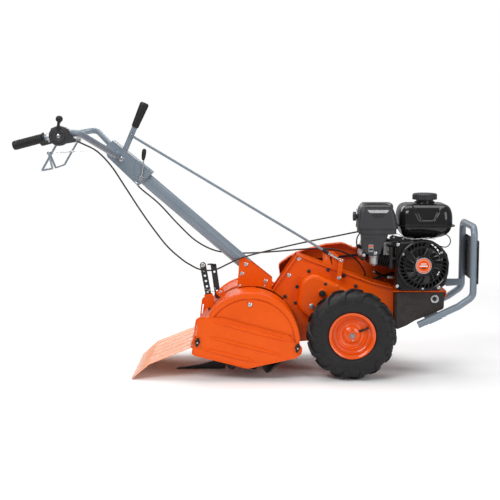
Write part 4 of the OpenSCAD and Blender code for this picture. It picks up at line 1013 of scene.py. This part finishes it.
pull = dressed("pull_rod")
ring = [(-775 + 6.6 * cos(a), 0, 836 + 6.6 * sin(a)) for a in np.linspace(0.25, 6.0, 26)]
pull.tube(ring + [(-764, 0, 837.2), (-755, 0, 838)], 1.9, zinc, 12)
pull.tube([(-757, 0, 837.8), (-640, 0, 846)], 1.8, zinc, 12)
coil = [(-735 + 60 * t, 3.1 * cos(2 * pi * 15 * t), 839.4 + 4.2 * t + 3.1 * sin(2 * pi * 15 * t))
    for t in np.linspace(0, 1, 181)]
pull.tube(coil, 0.8, zinc, 6)
pull.tube([(-642, 0, 845.8), (-535, 0, 852)], 1.3, zinc, 10)
pull.lathe(rod(3, 0, 12), zinc, aim((-652, 0, 845.2), (-640, 0, 846)), 16)
pull.done(0)

LOCK = COLUMN @ Vector((105, 0, -6))
lock = dressed("lock_lever")
p = facing(LOCK.x, LOCK.z)
lock.lathe([(0, 30.5), (3.95, 30.5), (3.95, 35.6), (9, 35.6), (9, 41), (8, 42), (0, 42)], zinc, p, 28)
lock.tube([(LOCK.x, -39, LOCK.z + 3), (-414, -40.4, LOCK.z + 20), (-408, -47.6, 800), (-407, -48, 822)],
    2.8, zinc, 14)
lock.lathe([(0, -6), (4.4, -6), (6.4, 0), (8, 10), (8.5, 22), (8.2, 30), (6.4, 35), (3, 37.4), (0, 37.8)],
    rubber, aim((-408, -48, 817), (-404, -49, 848)), 32)
lock.done(0.5)


# ---------- engine ----------

def rounded_ring(x0, x1, y0, y1, z, r, n=10):
    """A rounded rectangle seen from above, as one ring of a loft."""
    out = []
    for cx, cy, start in ((x1 - r, y1 - r, 0), (x0 + r, y1 - r, 90), (x0 + r, y0 + r, 180),
            (x1 - r, y0 + r, 270)):
        out += [(cx + r * cos(radians(start + 90 * k / n)), cy + r * sin(radians(start + 90 * k / n)), z)
            for k in range(n + 1)]
    return out


def dense(ring, step=3.0):
    """The ring with points added along its long sides."""
    out = []
    for a, b in zip(ring, ring[1:] + ring[:1]):
        a, b = Vector(a), Vector(b)
        m = max(1, int((b - a).length / step))
        out += [tuple(a.lerp(b, k / m)) for k in range(m)]
    return out


blower = dressed("blower_housing")
body_line = soft([(546, 336), (560, 325), (700, 325), (732, 345), (744, 392), (746, 430), (738, 464),
    (716, 492), (690, 508), (664, 514), (640, 512), (556, 508), (546, 496)], 20, 8)
levels = [(-86, 0), (-140, 0)] + [(-140 - 8 * sin(radians(a)), 8 - 8 * cos(radians(a)))
    for a in (22, 45, 67, 90)]
rings = [[(x, y, z) for x, z in shrunk(body_line, d)] for y, d in levels]
blower.loft(rings, housing_black, caps=False)
front_face = [(x, z) for x, _, z in rings[-1]]
mouth = hole(*CRANK, 86, 64)
blower.across(front_face, -148, -146.4, housing_black, [mouth])
back_line = soft([(547, 336), (560, 326), (700, 326), (732, 346), (743, 392), (745, 430), (737, 464),
    (715, 491), (689, 507), (664, 513), (640, 511), (574, 507), (549, 466)], 18, 8)
blower.across(body_line, -89, -86, housing_black, [hole(*CRANK, 84, 64)])
blower.across(back_line, -87, -76, housing_black, [hole(*CRANK, 84, 64)])
blower.across(soft([(534, 494), (556, 491), (556, 507), (534, 506)], 3), -147.6, -87, housing_black)
for a, b in (((552, 500), (610, 504)), ((552, 350), (552, 480))):
    blower.tube([(a[0], -146, a[1]), (b[0], -146, b[1])], 3, housing_black, 10)
for x, z in ((551, 343), (647, 331), (707, 338), (552, 500)):
    blower.bolt(x, z, -148.2, 4.6, 4.2, zinc)
blower.done(0.8, 2, 40)

recoil = dressed("recoil_cover")


def vane(r0, r1, a0, a1, swirl, n=6):
    """A curved window between two radii."""
    left = [polar(r0 + (r1 - r0) * k / n, a0 + swirl * (k / n) ** 1.3) for k in range(n + 1)]
    right = [polar(r0 + (r1 - r0) * k / n, a1 + swirl * (k / n) ** 1.3) for k in range(n + 1)]
    return soft(right + left[::-1], 1.6, 3)


def domed_plate(part, outline, low, high, holes, finish, rise, r0, r1):
    """A flat plate with windows, raised into a cone between two radii."""
    start = len(part.verts)
    part.solid(outline, low, high, finish, None, holes)
    for i in range(start, len(part.verts)):
        x, y, z = part.verts[i]
        t = min(1.0, max(0.0, (r1 - hypot(x, y)) / (r1 - r0)))
        part.verts[i] = facing(*CRANK) @ Vector((-x, y, z + rise * t * (2 - t)))


groups = [72, 148, 220, 290, 356]
windows, outer_slots = [], []
for g in groups:
    for k in (-1, 0, 1):
        windows.append(vane(40, 66, g - 4 + 17 * k - 6.4, g - 4 + 17 * k + 6.4, 9))
for k in range(34):
    a = 360 / 34 * k + 4
    if min(abs(a - 150), abs(a - 33), abs(a - 96)) > 6.5:
        outer_slots.append(vane(73, 87, a - 3.6, a + 3.6, 4, 3))
domed_plate(recoil, hole(0, 0, 69.5, 96), 156, 159, windows, gloss_black, 5, 36, 69.5)
domed_plate(recoil, hole(0, 0, 95, 96), 153, 156.4, outer_slots + [hole(0, 0, 69, 72)], gloss_black, 0, 1,
    2)
recoil.lathe([(69, 153), (70.6, 153), (70.6, 158.4), (69.6, 159.6), (68.4, 159.6), (68, 158)],
    gloss_black, facing(*CRANK), 96)
recoil.lathe([(88.5, 153), (90, 157.4), (92.4, 159), (94.4, 158), (96, 154), (96, 148), (88.5, 148)],
    gloss_black, facing(*CRANK), 96)
for g in groups:
    rim_line = [polar(68, g - 4 + 4 + a) for a in np.linspace(-27, 31, 16)]
    rim_line += [polar(38, g - 4 + a - 2) for a in np.linspace(25, -25, 12)]
    lift = [(x, z, 164.4 - 5 * min(1, max(0, (hypot(x, z) - 36) / 33.5)) ** 2) for x,
        z in soft(rim_line, 6, 4)]
    recoil.tube([facing(*CRANK) @ Vector((-x, z, y)) for x, z, y in lift], 1.3, gloss_black, 8,
        closed=True)
recoil.lathe([(0, 160), (35, 160), (35, 165), (33, 166.4), (30.6, 166), (30.2, 164.4), (0, 164.4)],
    gloss_black, facing(*CRANK), 72)
recoil.lathe([(27.2, 164), (30.2, 164), (30.2, 165.4), (29.4, 166), (28, 166), (27.2, 165.4)], cast_metal,
    facing(*CRANK), 72)
recoil.lathe(rod(27.2, 164.2, 165.3), orange, facing(*CRANK), 64)
recoil.lathe([(21.6, 165), (22.6, 165), (22.6, 165.7), (21.6, 165.7)], white_print, facing(*CRANK), 64)
for z, w, h, finish in ((7, 20, 3.4, white_print), (-1, 30, 4.4, white_print),
        (-9.6, 20, 3.4, black_coat)):
    recoil.across(rect(w, h, h / 2.2, CRANK[0], CRANK[1] + z), -165.8, -165, finish)
for x, z in ((571, 466), (715, 472), (647, 332)):
    recoil.lathe([(0, 148), (9, 148), (9, 152), (8, 153.4), (0, 153.4)], gloss_black, facing(x, z), 28)
    recoil.bolt(x, z, -153, 4.6, 4.4, zinc)
recoil.done(0.5, 2, 36)

handle = dressed("recoil_handle")
handle.lathe([(0, -43), (5, -42), (8, -38), (9, -32), (8.4, -20), (7.4, -8), (7.4, 8), (8.4, 20), (9, 32),
    (8, 38), (5, 42), (0, 43)], rubber, upright(530, -126, 446), 32)
handle.lathe([(0, -8), (6.6, -8), (8, -4), (8, 4), (5, 9), (3.4, 15), (0, 16)], rubber,
    aim((534, -126, 446), (560, -138, 444)), 24)
handle.done(0.5)
rope = Part("recoil_rope", None, "cable_jacket")
rope.tube([(536 + 52 * t, -128 - 16 * t, 445.6 - 4 * t) for t in np.linspace(0, 1, 28)], 2.0, jacket, 12)
rope_piece = rope.done(0)
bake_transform(rope_piece)

tank = dressed("fuel_tank")


def press(x, z):
    """How deep the tank's side is pressed in, inside a shallow trapezoid."""
    wide = 30 + max(0, z - 584) * 0.54
    across_x = min(1, max(0, (wide - abs(x - 668)) / 9))
    up = min(1, max(0, (z - 580) / 9))
    t = across_x * up
    return 6.5 * t * t * (3 - 2 * t)


upper = [(565, 0), (570, -0.6), (580, -1), (590, -1), (600, -0.4), (608, 0.8), (616, 2.6), (622, 4.8),
    (628, 7.6), (633, 11), (637, 15), (640.5, 20), (643, 27), (644.6, 36)]


def resampled(ring, n):
    pts = np.array(ring + ring[:1])
    s = np.concatenate([[0], np.cumsum(np.linalg.norm(np.diff(pts, axis=0), axis=1))])
    return [tuple(np.array([np.interp(s[-1] * k / n, s, pts[:, i]) for i in range(3)])) for k in range(n)]


zs = np.linspace(565, 637, 34).tolist() + [639.5, 641.6, 643.2, 644.6]
insets = np.interp(zs, [u[0] for u in upper], [u[1] for u in upper])
rings = []
for z, inset in zip(zs, insets):
    ring = resampled(rounded_ring(567 + inset, 767 - inset * 0.9, -97 + inset, 97 - inset, z,
        max(12, 36 - inset * 0.6)), 260)
    rings.append([(x, y - copysign(press(x, z), y) if abs(y) > 50 else y, z) for x, y, z in ring])
tank.loft(rings, gloss_black)
lower = [(561, 1), (556, 1.5), (548, 4), (540, 8), (532, 14), (525, 22), (519, 33), (515, 46), (513, 60)]
rings = [resampled(rounded_ring(569 + i * 0.55, 766 - i, -96 + i * 0.8, 96 - i * 0.8, z, 34), 160) for z,
    i in lower]
tank.loft(rings, gloss_black)
flange = [(x, y) for x, y, _ in rounded_ring(563, 778, -100, 100, 0, 38)]
tank.solid(flange, 560.6, 565.4, gloss_black)
tank.solid(rect(26, 30, 7, 640, -88), 503, 516, black_coat)
tank.lathe([(30, 640), (38, 640), (38.6, 643), (36, 646), (36, 650), (33, 651), (33, 658), (30, 658)],
    gloss_black, upright(670, 0, 0), 64)
for k in range(20):
    a = radians(18 * k)
    tank.solid(rect(5, 4, 1, 36.4, 0), 646, 651.5, gloss_black, upright(670, 0, 0)
        @ Matrix.Rotation(a, 4, "Z"))
tank.done(0.6, 2, 42)

cap = dressed("fuel_cap")
grip_line = []
for k in range(36):
    for t, r in ((0.0, 45.2), (0.28, 47.2), (0.62, 47.2), (0.9, 45.2)):
        a = 2 * pi * (k + t) / 36
        grip_line.append((r * cos(a), r * sin(a)))
cap_place = upright(670, 0, 0)
cap.solid(grip_line, 659, 677, charcoal, cap_place)
cap.lathe([(0, 658.6), (44, 658.6), (45.6, 660), (45.6, 676), (46.4, 677.4), (45.6, 680), (43, 681.8),
    (36, 682.8), (20, 683), (0, 683)], charcoal, cap_place, 72)
cap.lathe([(24, 682.6), (26, 683), (27, 682.6)], charcoal, cap_place, 48)
cap.done(0.6)

cleaner = dressed("air_cleaner_cover", "air_cleaner_visual")
sections = [(556, 404, 554, -136, -12), (561, 403, 554.5, -136.4, -12), (566, 404, 553, -135.6, -12.6),
    (590, 406, 549, -134, -14), (612, 408, 544, -132, -16), (626, 410, 539, -130, -18),
    (636, 413, 533, -127, -21), (643, 418, 526, -121, -27), (647.5, 426, 518, -111, -37)]
rings = [resampled(rounded_ring(x0, x1, y0, y1, z, 16), 180) for z, x0, x1, y0, y1 in sections]
cleaner.loft(rings, charcoal)
cleaner.across(soft([(436, 628), (521, 628), (511, 617), (447, 617)], 2.5), -132.6, -129.5, cast_metal)
for k in range(3):
    cleaner.across(rect(52 - 10 * k, 3.2, 1.2, 479, 610.5 - 5.4 * k), -133.4 + 0.1 * k, -131, black_coat)
# the small dark bars along the cover's shoulder are painted shade: black patches stand for its intake
# slots, which are not cut
for k in range(15):
    p = moved(432 + 6.4 * k, -124.4, 640.4) @ turned(34, "X")
    cleaner.solid(rect(3.4, 9, 1.2), -1.2, 1.0, black_coat, p)
cleaner.solid(rect(92, 3, 1, 472, -112), 646.4, 648.4, charcoal)
cleaner.solid(rect(60, 18, 3, 470, -80), 646.5, 650.4, charcoal)
cleaner.solid(rect(84, 24, 3, 474, -46), 646.5, 649, charcoal)
cleaner.done(0.7, 2, 40)

tray = dressed("air_cleaner_base")
rings = [resampled(rounded_ring(408, 549, -133, -15, z, 14), 120) for z in (538, 555.4)]
tray.loft(rings, charcoal)
column_line = soft([(417, 538), (421, 486), (436, 461), (470, 456), (488, 462), (497, 490), (510, 516),
    (520, 538)], 8)
tray.across(column_line, -128, -70, charcoal)
tray.across(soft([(424, 520), (426, 488), (438, 466), (462, 462), (464, 520)], 6), -129.4, -70, charcoal)
tray.across(rect(18, 28, 2, 453, 484), -129.9, -128.6, zinc)
tray.across(rect(14, 7, 1, 453, 491), -130.2, -129.6, orange)
tray.across(rect(14, 7, 1, 453, 479), -130.2, -129.6, black_coat)
tray.bolt(470, 465, -128.6, 5, 4.4, zinc)
tray.bolt(427, 457, -122, 4.4, 4.4, zinc)
tray.done(0.8, 2, 40)

turn_knob = dressed("filter_knob")
p = moved(388, -74, 600) @ turned(90, "Y")
star = []
for k in range(72):
    a = 2 * pi * k / 72
    star.append(((15.4 + 1.9 * cos(6 * a)) * cos(a), (15.4 + 1.9 * cos(6 * a)) * sin(a)))
turn_knob.solid(star, 0.5, 13, charcoal, p)
turn_knob.lathe(rod(9, 0, 19.4), charcoal, p, 32)
turn_knob.done(1.2)


# ---------- the rest of the engine ----------
BARREL = moved(CRANK[0], 0, CRANK[1]) @ turned(14, "Y")


def along_y(part, x, z, profile, finish, n=48):
    """Turned piece with its profile given as (radius, y)."""
    part.lathe(profile, finish, facing(x, z, 0, 0, 1), n)


case = dressed("crankcase")
along_y(case, *CRANK, [(62, -70), (78, -70), (80, -67), (80, 61), (77, 64), (62, 64)], black_cast, 96)
along_y(case, *CRANK, [(12.6, 56), (62, 56), (62, 66), (58, 67.5), (34, 68), (30, 72), (12.6, 72)],
    black_cast, 72)
case.box((566, -60, 317), (726, 60, 350), black_cast)
case.across(soft([(568, 346), (724, 346), (712, 372), (582, 372)], 6), -58, 58, black_cast)
for k in range(8):
    a = radians(45 * k + 12)
    case.bolt(CRANK[0] + 70 * cos(a), CRANK[1] + 70 * sin(a), 64, 5, 4.5, zinc, 1)
for y in (-34, -17, 0, 17, 34):
    case.box((562, y - 1.5, 330), (568, y + 1.5, 372), black_cast)
case.tube([(562, 30, 352), (532, 30, 352)], 8, zinc, 6)
case.tube([(540, 30, 352), (524, 30, 353), (505, 30, 361), (482, 30, 374)], 6.4, rubber, 16)
case.tube([(486, 30, 371.5), (479, 30, 375.6)], 7, zinc, 16)
case.done(0.8, 2, 40)

barrel = dressed("cylinder")
for k in range(12):
    x = -190 + 9 * k
    fin = soft([(-54, -52), (54, -52), (54, 52), (-54, 52)], 9, 4)
    p = BARREL @ moved(x, 0, 0) @ turned(90, "Z") @ SIDEWAYS
    barrel.solid(fin, -3, 0, black_cast, p)
barrel.solid(soft([(-38, -38), (38, -38), (38, 38), (-38, 38)], 12, 5), 84, 195, black_cast,
    BARREL @ turned(-90, "Z") @ turned(90, "X") @ turned(180, "Y") @ Matrix.Scale(-1, 4, (0, 0, 1)))
barrel.solid(soft([(-50, -48), (50, -48), (50, 48), (-50, 48)], 10, 5), 0, 12, black_cast,
    BARREL @ moved(-207, 0, 0) @ turned(90, "Z") @ SIDEWAYS @ Matrix.Scale(-1, 4, (0, 0, 1)))
barrel.done(0.6, 2, 40)

lid = dressed("valve_cover")
face = BARREL @ moved(-207.4, 12, 0) @ turned(-90, "Y")
levels = [(0, 0), (4, 0), (6, 3), (17, 4), (21, 6.5), (23.6, 11), (24.6, 16)]
rings = []
for h, inset in levels:
    ring = rounded_ring(-42 + inset, 42 - inset, -36 + inset, 36 - inset, h, 12)
    rings.append([face @ Vector(v) for v in ring])
lid.loft(rings, cast_metal)
for sz in (-35, 35):
    for sy in (-29, 29):
        p = face @ moved(sz, sy, 4)
        lid.lathe(rod(5, 0, 5), zinc, p, 6)
lid.done(0.8, 2, 40)

plug = dressed("spark_plug", slot="steel")
p = BARREL @ moved(-246, -36, 0) @ turned(90, "Y")
plug.lathe([(0, 0), (6, 0), (8.4, 1.4), (8.8, 4), (8.8, 8), (7.6, 10), (7.6, 20), (8.4, 22), (0, 22)],
    rubber, p, 28)
plug.lathe([(0, 21), (6.6, 21), (6.6, 30), (5, 31), (5, 38.6), (0, 38.6)], zinc, p, 6)
plug.done(0.4)
lead = Part("ignition_lead", "chassis", "cable_jacket")
start = BARREL @ Vector((-243, -36, 0))
lead.tube(curve([start, (start.x - 6, -52, start.z + 3), (402, -104, start.z + 14), (399, -124, 508),
    (402, -132, 528), (416, -124, 545), (432, -90, 548)], 8), 2.6, jacket, 12)
lead.done(0)

carb = dressed("carburettor")
bowl = upright(468, -88, 0)
carb.lathe([(0, 413), (6, 413), (6, 416), (13, 417.4), (15.4, 421), (16, 426), (16, 444), (17, 447),
    (19, 448), (19, 452.6), (0, 452.6)], cast_metal, bowl, 40)
for k in range(4):
    a = radians(90 * k + 45)
    carb.tube([(468 + 15.6 * cos(a), -88 + 15.6 * sin(a), 446.4),
        (468 + 15.6 * cos(a), -88 + 15.6 * sin(a), 449)], 2.6, zinc, 12)
carb.box((506, -76, 452), (536, -56, 502), cast_metal)
carb.lathe([(0, 0), (6, 0), (6, 4), (4.6, 5), (0, 5)], brass, facing(521, 460, -73), 28)
carb.done(0.9, 2, 40)

choke = dressed("choke_lever")
choke.across(wrapped([(*CHOKE, 5), (542, 480, 4.6)], 30), -79.4, -76.6, charcoal, [hole(*CHOKE, 2.1, 20)])
choke.lathe([(0, 0), (4, 0), (3.6, 3), (2, 4), (0, 4)], charcoal, facing(541, 480.5, -77), 20)
choke.done(0.5)

exhaust = dressed("muffler", slot="steel")
rings = []
for z, inset in ((532, 7), (534, 3), (538, 0.6), (546, 0), (626, 0), (634, 0.8), (638, 3.4), (640, 8)):
    rings.append(dense(rounded_ring(430 + inset, 554 - inset, 16 + inset, 120 - inset, z,
        max(22 - inset, 10)), 4))
rings = [resampled(r, 120) for r in rings]
exhaust.loft(rings, bare_steel)
# the dark ovals on the muffler's guard are painted shade: black patches stand for its holes, which are
# not cut
for r in range(4):
    for c in range(9):
        exhaust.solid(wrapped([(-3.6, 0, 1.7), (3.6, 0, 1.7)], 16), -0.6, 0.35, black_coat,
            facing(446 + 11.5 * c, 556 + 20 * r, 120, 60, 1))
exhaust.tube([(478, 70, 497), (478, 70, 534)], 11, bare_steel, 28)
exhaust.tube([(478, 55, 497), (478, 74, 497)], 10.6, bare_steel, 28)
exhaust.tube([(430, 90, 610), (417, 90, 606.4)], 8.6, bare_steel, 28)
exhaust.done(0.8, 2, 40)


def v_pulley(part, x, z, r):
    """A grooved belt pulley with a web and hub."""
    along_y(part, x, z, [(11, 86), (18, 86), (18, 90), (r - 9, 91), (r - 6, 88.4), (r, 88.4),
        (r + 1.6, 89), (r - 4.6, 92.4), (r - 4.6, 96.6), (r + 1.6, 100), (r, 100.8), (r - 6, 100.8),
        (r - 9, 98), (18, 99), (18, 103), (11, 103)], black_cast, 96)


shaft = dressed("crankshaft")
along_y(shaft, *CRANK, [(0, -140), (10, -140), (12.5, -137), (12.5, 101), (10.5, 104), (0, 104)],
    bare_steel, 40)
v_pulley(shaft, *CRANK, ENGINE_PULLEY_R)
along_y(shaft, *CRANK, [(12, -134), (30, -134), (30, -120), (70, -118), (70, -100), (74, -98),
    (74.6, -96), (12, -96)], black_cast, 96)
for k in range(20):
    a = 18 * k
    wing = [(34, -1.4), (72, -1.4 + 9), (72.8, 1.4 + 9), (34, 1.4)]
    shaft.solid(wing, 96.5, 119, black_cast, facing(*CRANK, 0, a, -1))
for y0, y1 in ((-58, -34), (20, 44)):
    along_y(shaft, *CRANK, [(12, y0), (38, y0), (40, y0 + 2), (40, y1 - 2), (38, y1), (12, y1)],
        bare_steel, 64)
shaft.bolt(*CRANK, 103, 7, 6, zinc, 1)
shaft.done(0.4)

drive = dressed("input_shaft")
along_y(drive, *INPUT, [(0, -92.6), (8.6, -92.6), (10, -91), (10, 102.6), (8.6, 104), (0, 104)],
    bare_steel, 40)
v_pulley(drive, *INPUT, INPUT_PULLEY_R)


def toothed(part, x, z, y0, y1, r, teeth, finish):
    line = []
    for k in range(teeth):
        for t, d in ((0, -5), (0.22, -4.6), (0.34, 1.4), (0.62, 1.4), (0.74, -4.6)):
            a = 2 * pi * (k + t) / teeth
            line.append((x + (r + d) * cos(a), z + (r + d) * sin(a)))
    part.across(line, y0, y1, finish)


toothed(drive, *INPUT, -12, 12, 31.5, 20, bare_steel)
drive.done(0.3, 1)

tiller_shaft = dressed("tine_shaft")
along_y(tiller_shaft, *TINE, [(0, -228), (10.4, -228), (12, -226), (12, 226), (10.4, 228), (0, 228)],
    bare_steel, 48)
toothed(tiller_shaft, *TINE, -14, 14, 31.5, 22, bare_steel)
tiller_shaft.done(0.3, 1)

belt = dressed("drive_belt")


def belt_ring(g):
    return wrapped([(*INPUT, INPUT_PULLEY_R + g), (*CRANK, ENGINE_PULLEY_R + g)], 140)


section = [(3.6, 89.2), (3.9, 90), (3.9, 99), (3.6, 99.8), (-3.6, 97.6), (-3.6, 91.4)]
belt.loft([[(x, y, z) for x, z in belt_ring(g)] for g, y in section], belt_rubber, closed=True)
belt.done(0, 1)

idler = dressed("idler_arm")
idler.across(wrapped([(*IDLER, 10), (*ROLLER, 10)], 48), 78.2, 82.8, zinc, [hole(*IDLER, 5.4, 24)])
along_y(idler, *ROLLER, [(0, 80), (6, 80), (6, 86), (16, 86), (19.6, 85.4), (20, 86.4), (18.4, 89),
    (18.4, 100), (20, 103), (19.6, 103.8), (16, 103.4), (6.6, 103.4), (6.6, 105.6), (0, 105.6)], zinc, 56)
idler.tube([(450, 80, 296), (450, 62, 296), (450, 60, 298), (450, 60, 311.6)], 2.8, zinc, 14)
idler.done(0.4)

# ---------- gearbox casting, bolts and front bumper ----------
box = dressed("gearbox_case")
top_line = wrapped([(x, z, 65.6) for x, z in DOMES], 120)
leg_line = wrapped([(*TINE, 44.6), (236, 270, 44.6), (*AXLE, 46.6)], 120)
for y0, y1 in ((-39.6, -34), (34, 39.6)):
    box.across(top_line, y0, y1, orange)
    box.across(leg_line, y0 * 0.99, y1 * 0.99, orange)
box.across(wrapped([(x, z, 63.6) for x, z in DOMES], 120), -35, 35, orange)
box.across(wrapped([(*TINE, 42.6), (236, 270, 42.6), (*AXLE, 44.6)], 120), -35, 35, orange)
box.across(wrapped([(*TINE, 44.8), (236, 270, 44.8), (*AXLE, 46.8)], 120), -2, 2, orange)
box.across(wrapped([(x, z, 65.8) for x, z in DOMES], 120), -2, 2, orange)
box.done(0.8, 2, 40)

heads = dressed("bolts")
along_y(heads, *PIVOT, [(0, -43), (6, -43), (7.6, -41.6), (8, -40), (8, -36.4), (5.9, -36), (5.9, 36),
    (8, 36.4), (8, 40), (7.6, 41.6), (6, 43), (0, 43)], zinc, 36)
heads.done(0.3)

bumper = dressed("bumper_tube")
leg = [(635, -125, 190), (787, -125, 262), (841, -125, 300), (841, -125, 562), (841, 125, 562),
    (841, 125, 300), (787, 125, 262), (635, 125, 190)]
bumper.tube(bent(leg, 34, 10), 13, grey_coat, 32)
p = moved(700, 0, 214) @ turned(-25.3, "Y")
bumper.solid(rect(54, 228, 3), -13, -8.2, grey_coat, p)
bumper.across(soft([(748, 312), (772, 312), (772, 308), (832, 312), (832, 338), (772, 338), (748, 316)],
    2), 86.2, 89.8, grey_coat)
bumper.box((824.3, 86.3, 312.3), (828.7, 117.7, 335.7), grey_coat)
for x, z in ((668, 206), (734, 237)):
    for y in (-125, 125):
        bumper.tube([(x, y, z - 10), (x + 2.6, y, z - 15)], 6, zinc, 6)
bumper.done(0.6, 2, 40)

board = dressed("bumper_plate", slot="charcoal_plastic")
p = Matrix(((0, 0, 1, 0), (1, 0, 0, 0), (0, 1, 0, 0), (0, 0, 0, 1)))
spots = [hole(y, z, 5.5, 28) for y in (-60, 60) for z in (380, 480)]
board.solid(soft([(-138, 347), (138, 347), (138, 512), (-138, 512)], 9, 5), 854.3, 858.1, black_coat, p,
    spots)
for y in (-125, 125):
    for z in (365, 494):
        board.lathe([(0, 0), (5.6, 0), (5.6, 1.2), (4.2, 2.8), (0, 3.2)], zinc,
            moved(854.4, y, z) @ turned(-90, "Y"), 20)
board.done(0.5)

# ---------- cables ----------
THROTTLE_RUN = [(-637, -282, 893), (-600, -272, 877), (-553, -258, 850), (-506, -234, 796),
    (-460, -199, 717), (-412, -163, 633), (-363, -127, 554), (-314, -92, 484), (-262, -56, 431),
    (-232, -36, 408), (-203, -22, 391), (-168, -19, 384), (-130, -22, 390), (-85, -35, 413),
    (-35, -40, 436), (45, -38, 458), (190, -34, 492), (340, -22, 521), (420, 1, 534), (475, 2, 540)]
CLUTCH_RUN = [(-440, 0, 716), (-415, 2, 692), (-355, 14, 640), (-285, 28, 562), (-215, 38, 494),
    (-140, 42, 455), (-60, 44, 445), (20, 44, 446), (110, 44, 452), (200, 42, 460), (280, 48, 462),
    (350, 56, 452), (410, 60, 420), (445, 60, 375), (450, 60, 330.3)]
for name, run, ends in (("throttle_cable", THROTTLE_RUN, ((-0.50, 0, 0), (-0.40, 0, 0))),
        ("clutch_cable", CLUTCH_RUN, None)):
    cable = Part(name + "_visual", None, "cable_jacket", name)
    route = curve(run, 10)
    cable.tube(route, 3.0, jacket, 16)
    for a, b in ((0, 4), (len(route) - 5, len(route) - 1)):
        cable.tube([route[a], route[b]], 3.3, zinc, 16)
    piece = cable.done(0)
    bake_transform(piece)

links = Part("control_wires", "chassis", "zinc")
links.tube([(476, -100, 530), (500, -118, 536), (528, -122, 535), (552, -120, 538)], 1.6, zinc, 10)
links.tube(curve([(552, -120, 538), (566, -122, 532), (590, -118, 520), (622, -112, 517),
    (660, -104, 519), (700, -96, 516)], 6), 1.5, zinc, 10)
links.tube(curve([(500, -90, 545), (506, -110, 532), (516, -118, 520), (540, -112, 514),
    (560, -104, 514)], 6), 1.4, jacket, 10)
links.tube(curve([(706, -80, 528), (730, -92, 536), (752, -96, 522), (756, -94, 500), (742, -88, 484),
    (722, -80, 486)], 8), 2.0, jacket, 12)
links.across(rect(16, 5, 1, 668, 520), -108, -106.6, zinc)
for x, z in ((540, 524), (575, 519), (608, 516)):
    links.lathe(rod(3.6, 0, 3), zinc, facing(x, z, -112), 16)
links.across(soft([(528, 508), (612, 508), (624, 516), (612, 524), (560, 526), (536, 532), (524, 524)],
    3), -106, -103.6, dark_steel)
links.tube([(570, -104, 515), (570, -80, 512)], 3, dark_steel, 12)
links.done(0.2)

# ---------- floor ----------
floor_mesh = bpy.data.meshes.new("floor")
floor_mesh.from_pydata([(4 * cos(radians(5 * k)), 4 * sin(radians(5 * k)), 0) for k in range(72)], [],
    [tuple(range(72))])
floor_mesh.materials.append(surface("floor_white", (0.95, 0.95, 0.95), (0.93, 0.93, 0.93), patch=1,
    rough=0.9, specular=0.1))
tree = floor_mesh.materials[0].node_tree
place = tree.nodes.new("ShaderNodeTexCoord")
far = tree.nodes.new("ShaderNodeVectorMath")
far.operation = "LENGTH"
fade = tree.nodes.new("ShaderNodeMapRange")
fade.interpolation_type = "SMOOTHSTEP"
set_inputs(fade, {"From Min": 1.1, "From Max": 2.9})
clear = tree.nodes.new("ShaderNodeBsdfTransparent")
mixed = tree.nodes.new("ShaderNodeMixShader")
tree.links.new(place.outputs["Object"], far.inputs[0])
tree.links.new(far.outputs["Value"], fade.inputs["Value"])
tree.links.new(fade.outputs["Result"], mixed.inputs["Fac"])
tree.links.new(tree.nodes["Principled BSDF"].outputs["BSDF"], mixed.inputs[1])
tree.links.new(clear.outputs["BSDF"], mixed.inputs[2])
tree.links.new(mixed.outputs["Shader"], tree.nodes["Material Output"].inputs["Surface"])
floor = bpy.data.objects.new("floor", floor_mesh)
bpy.context.scene.collection.objects.link(floor)
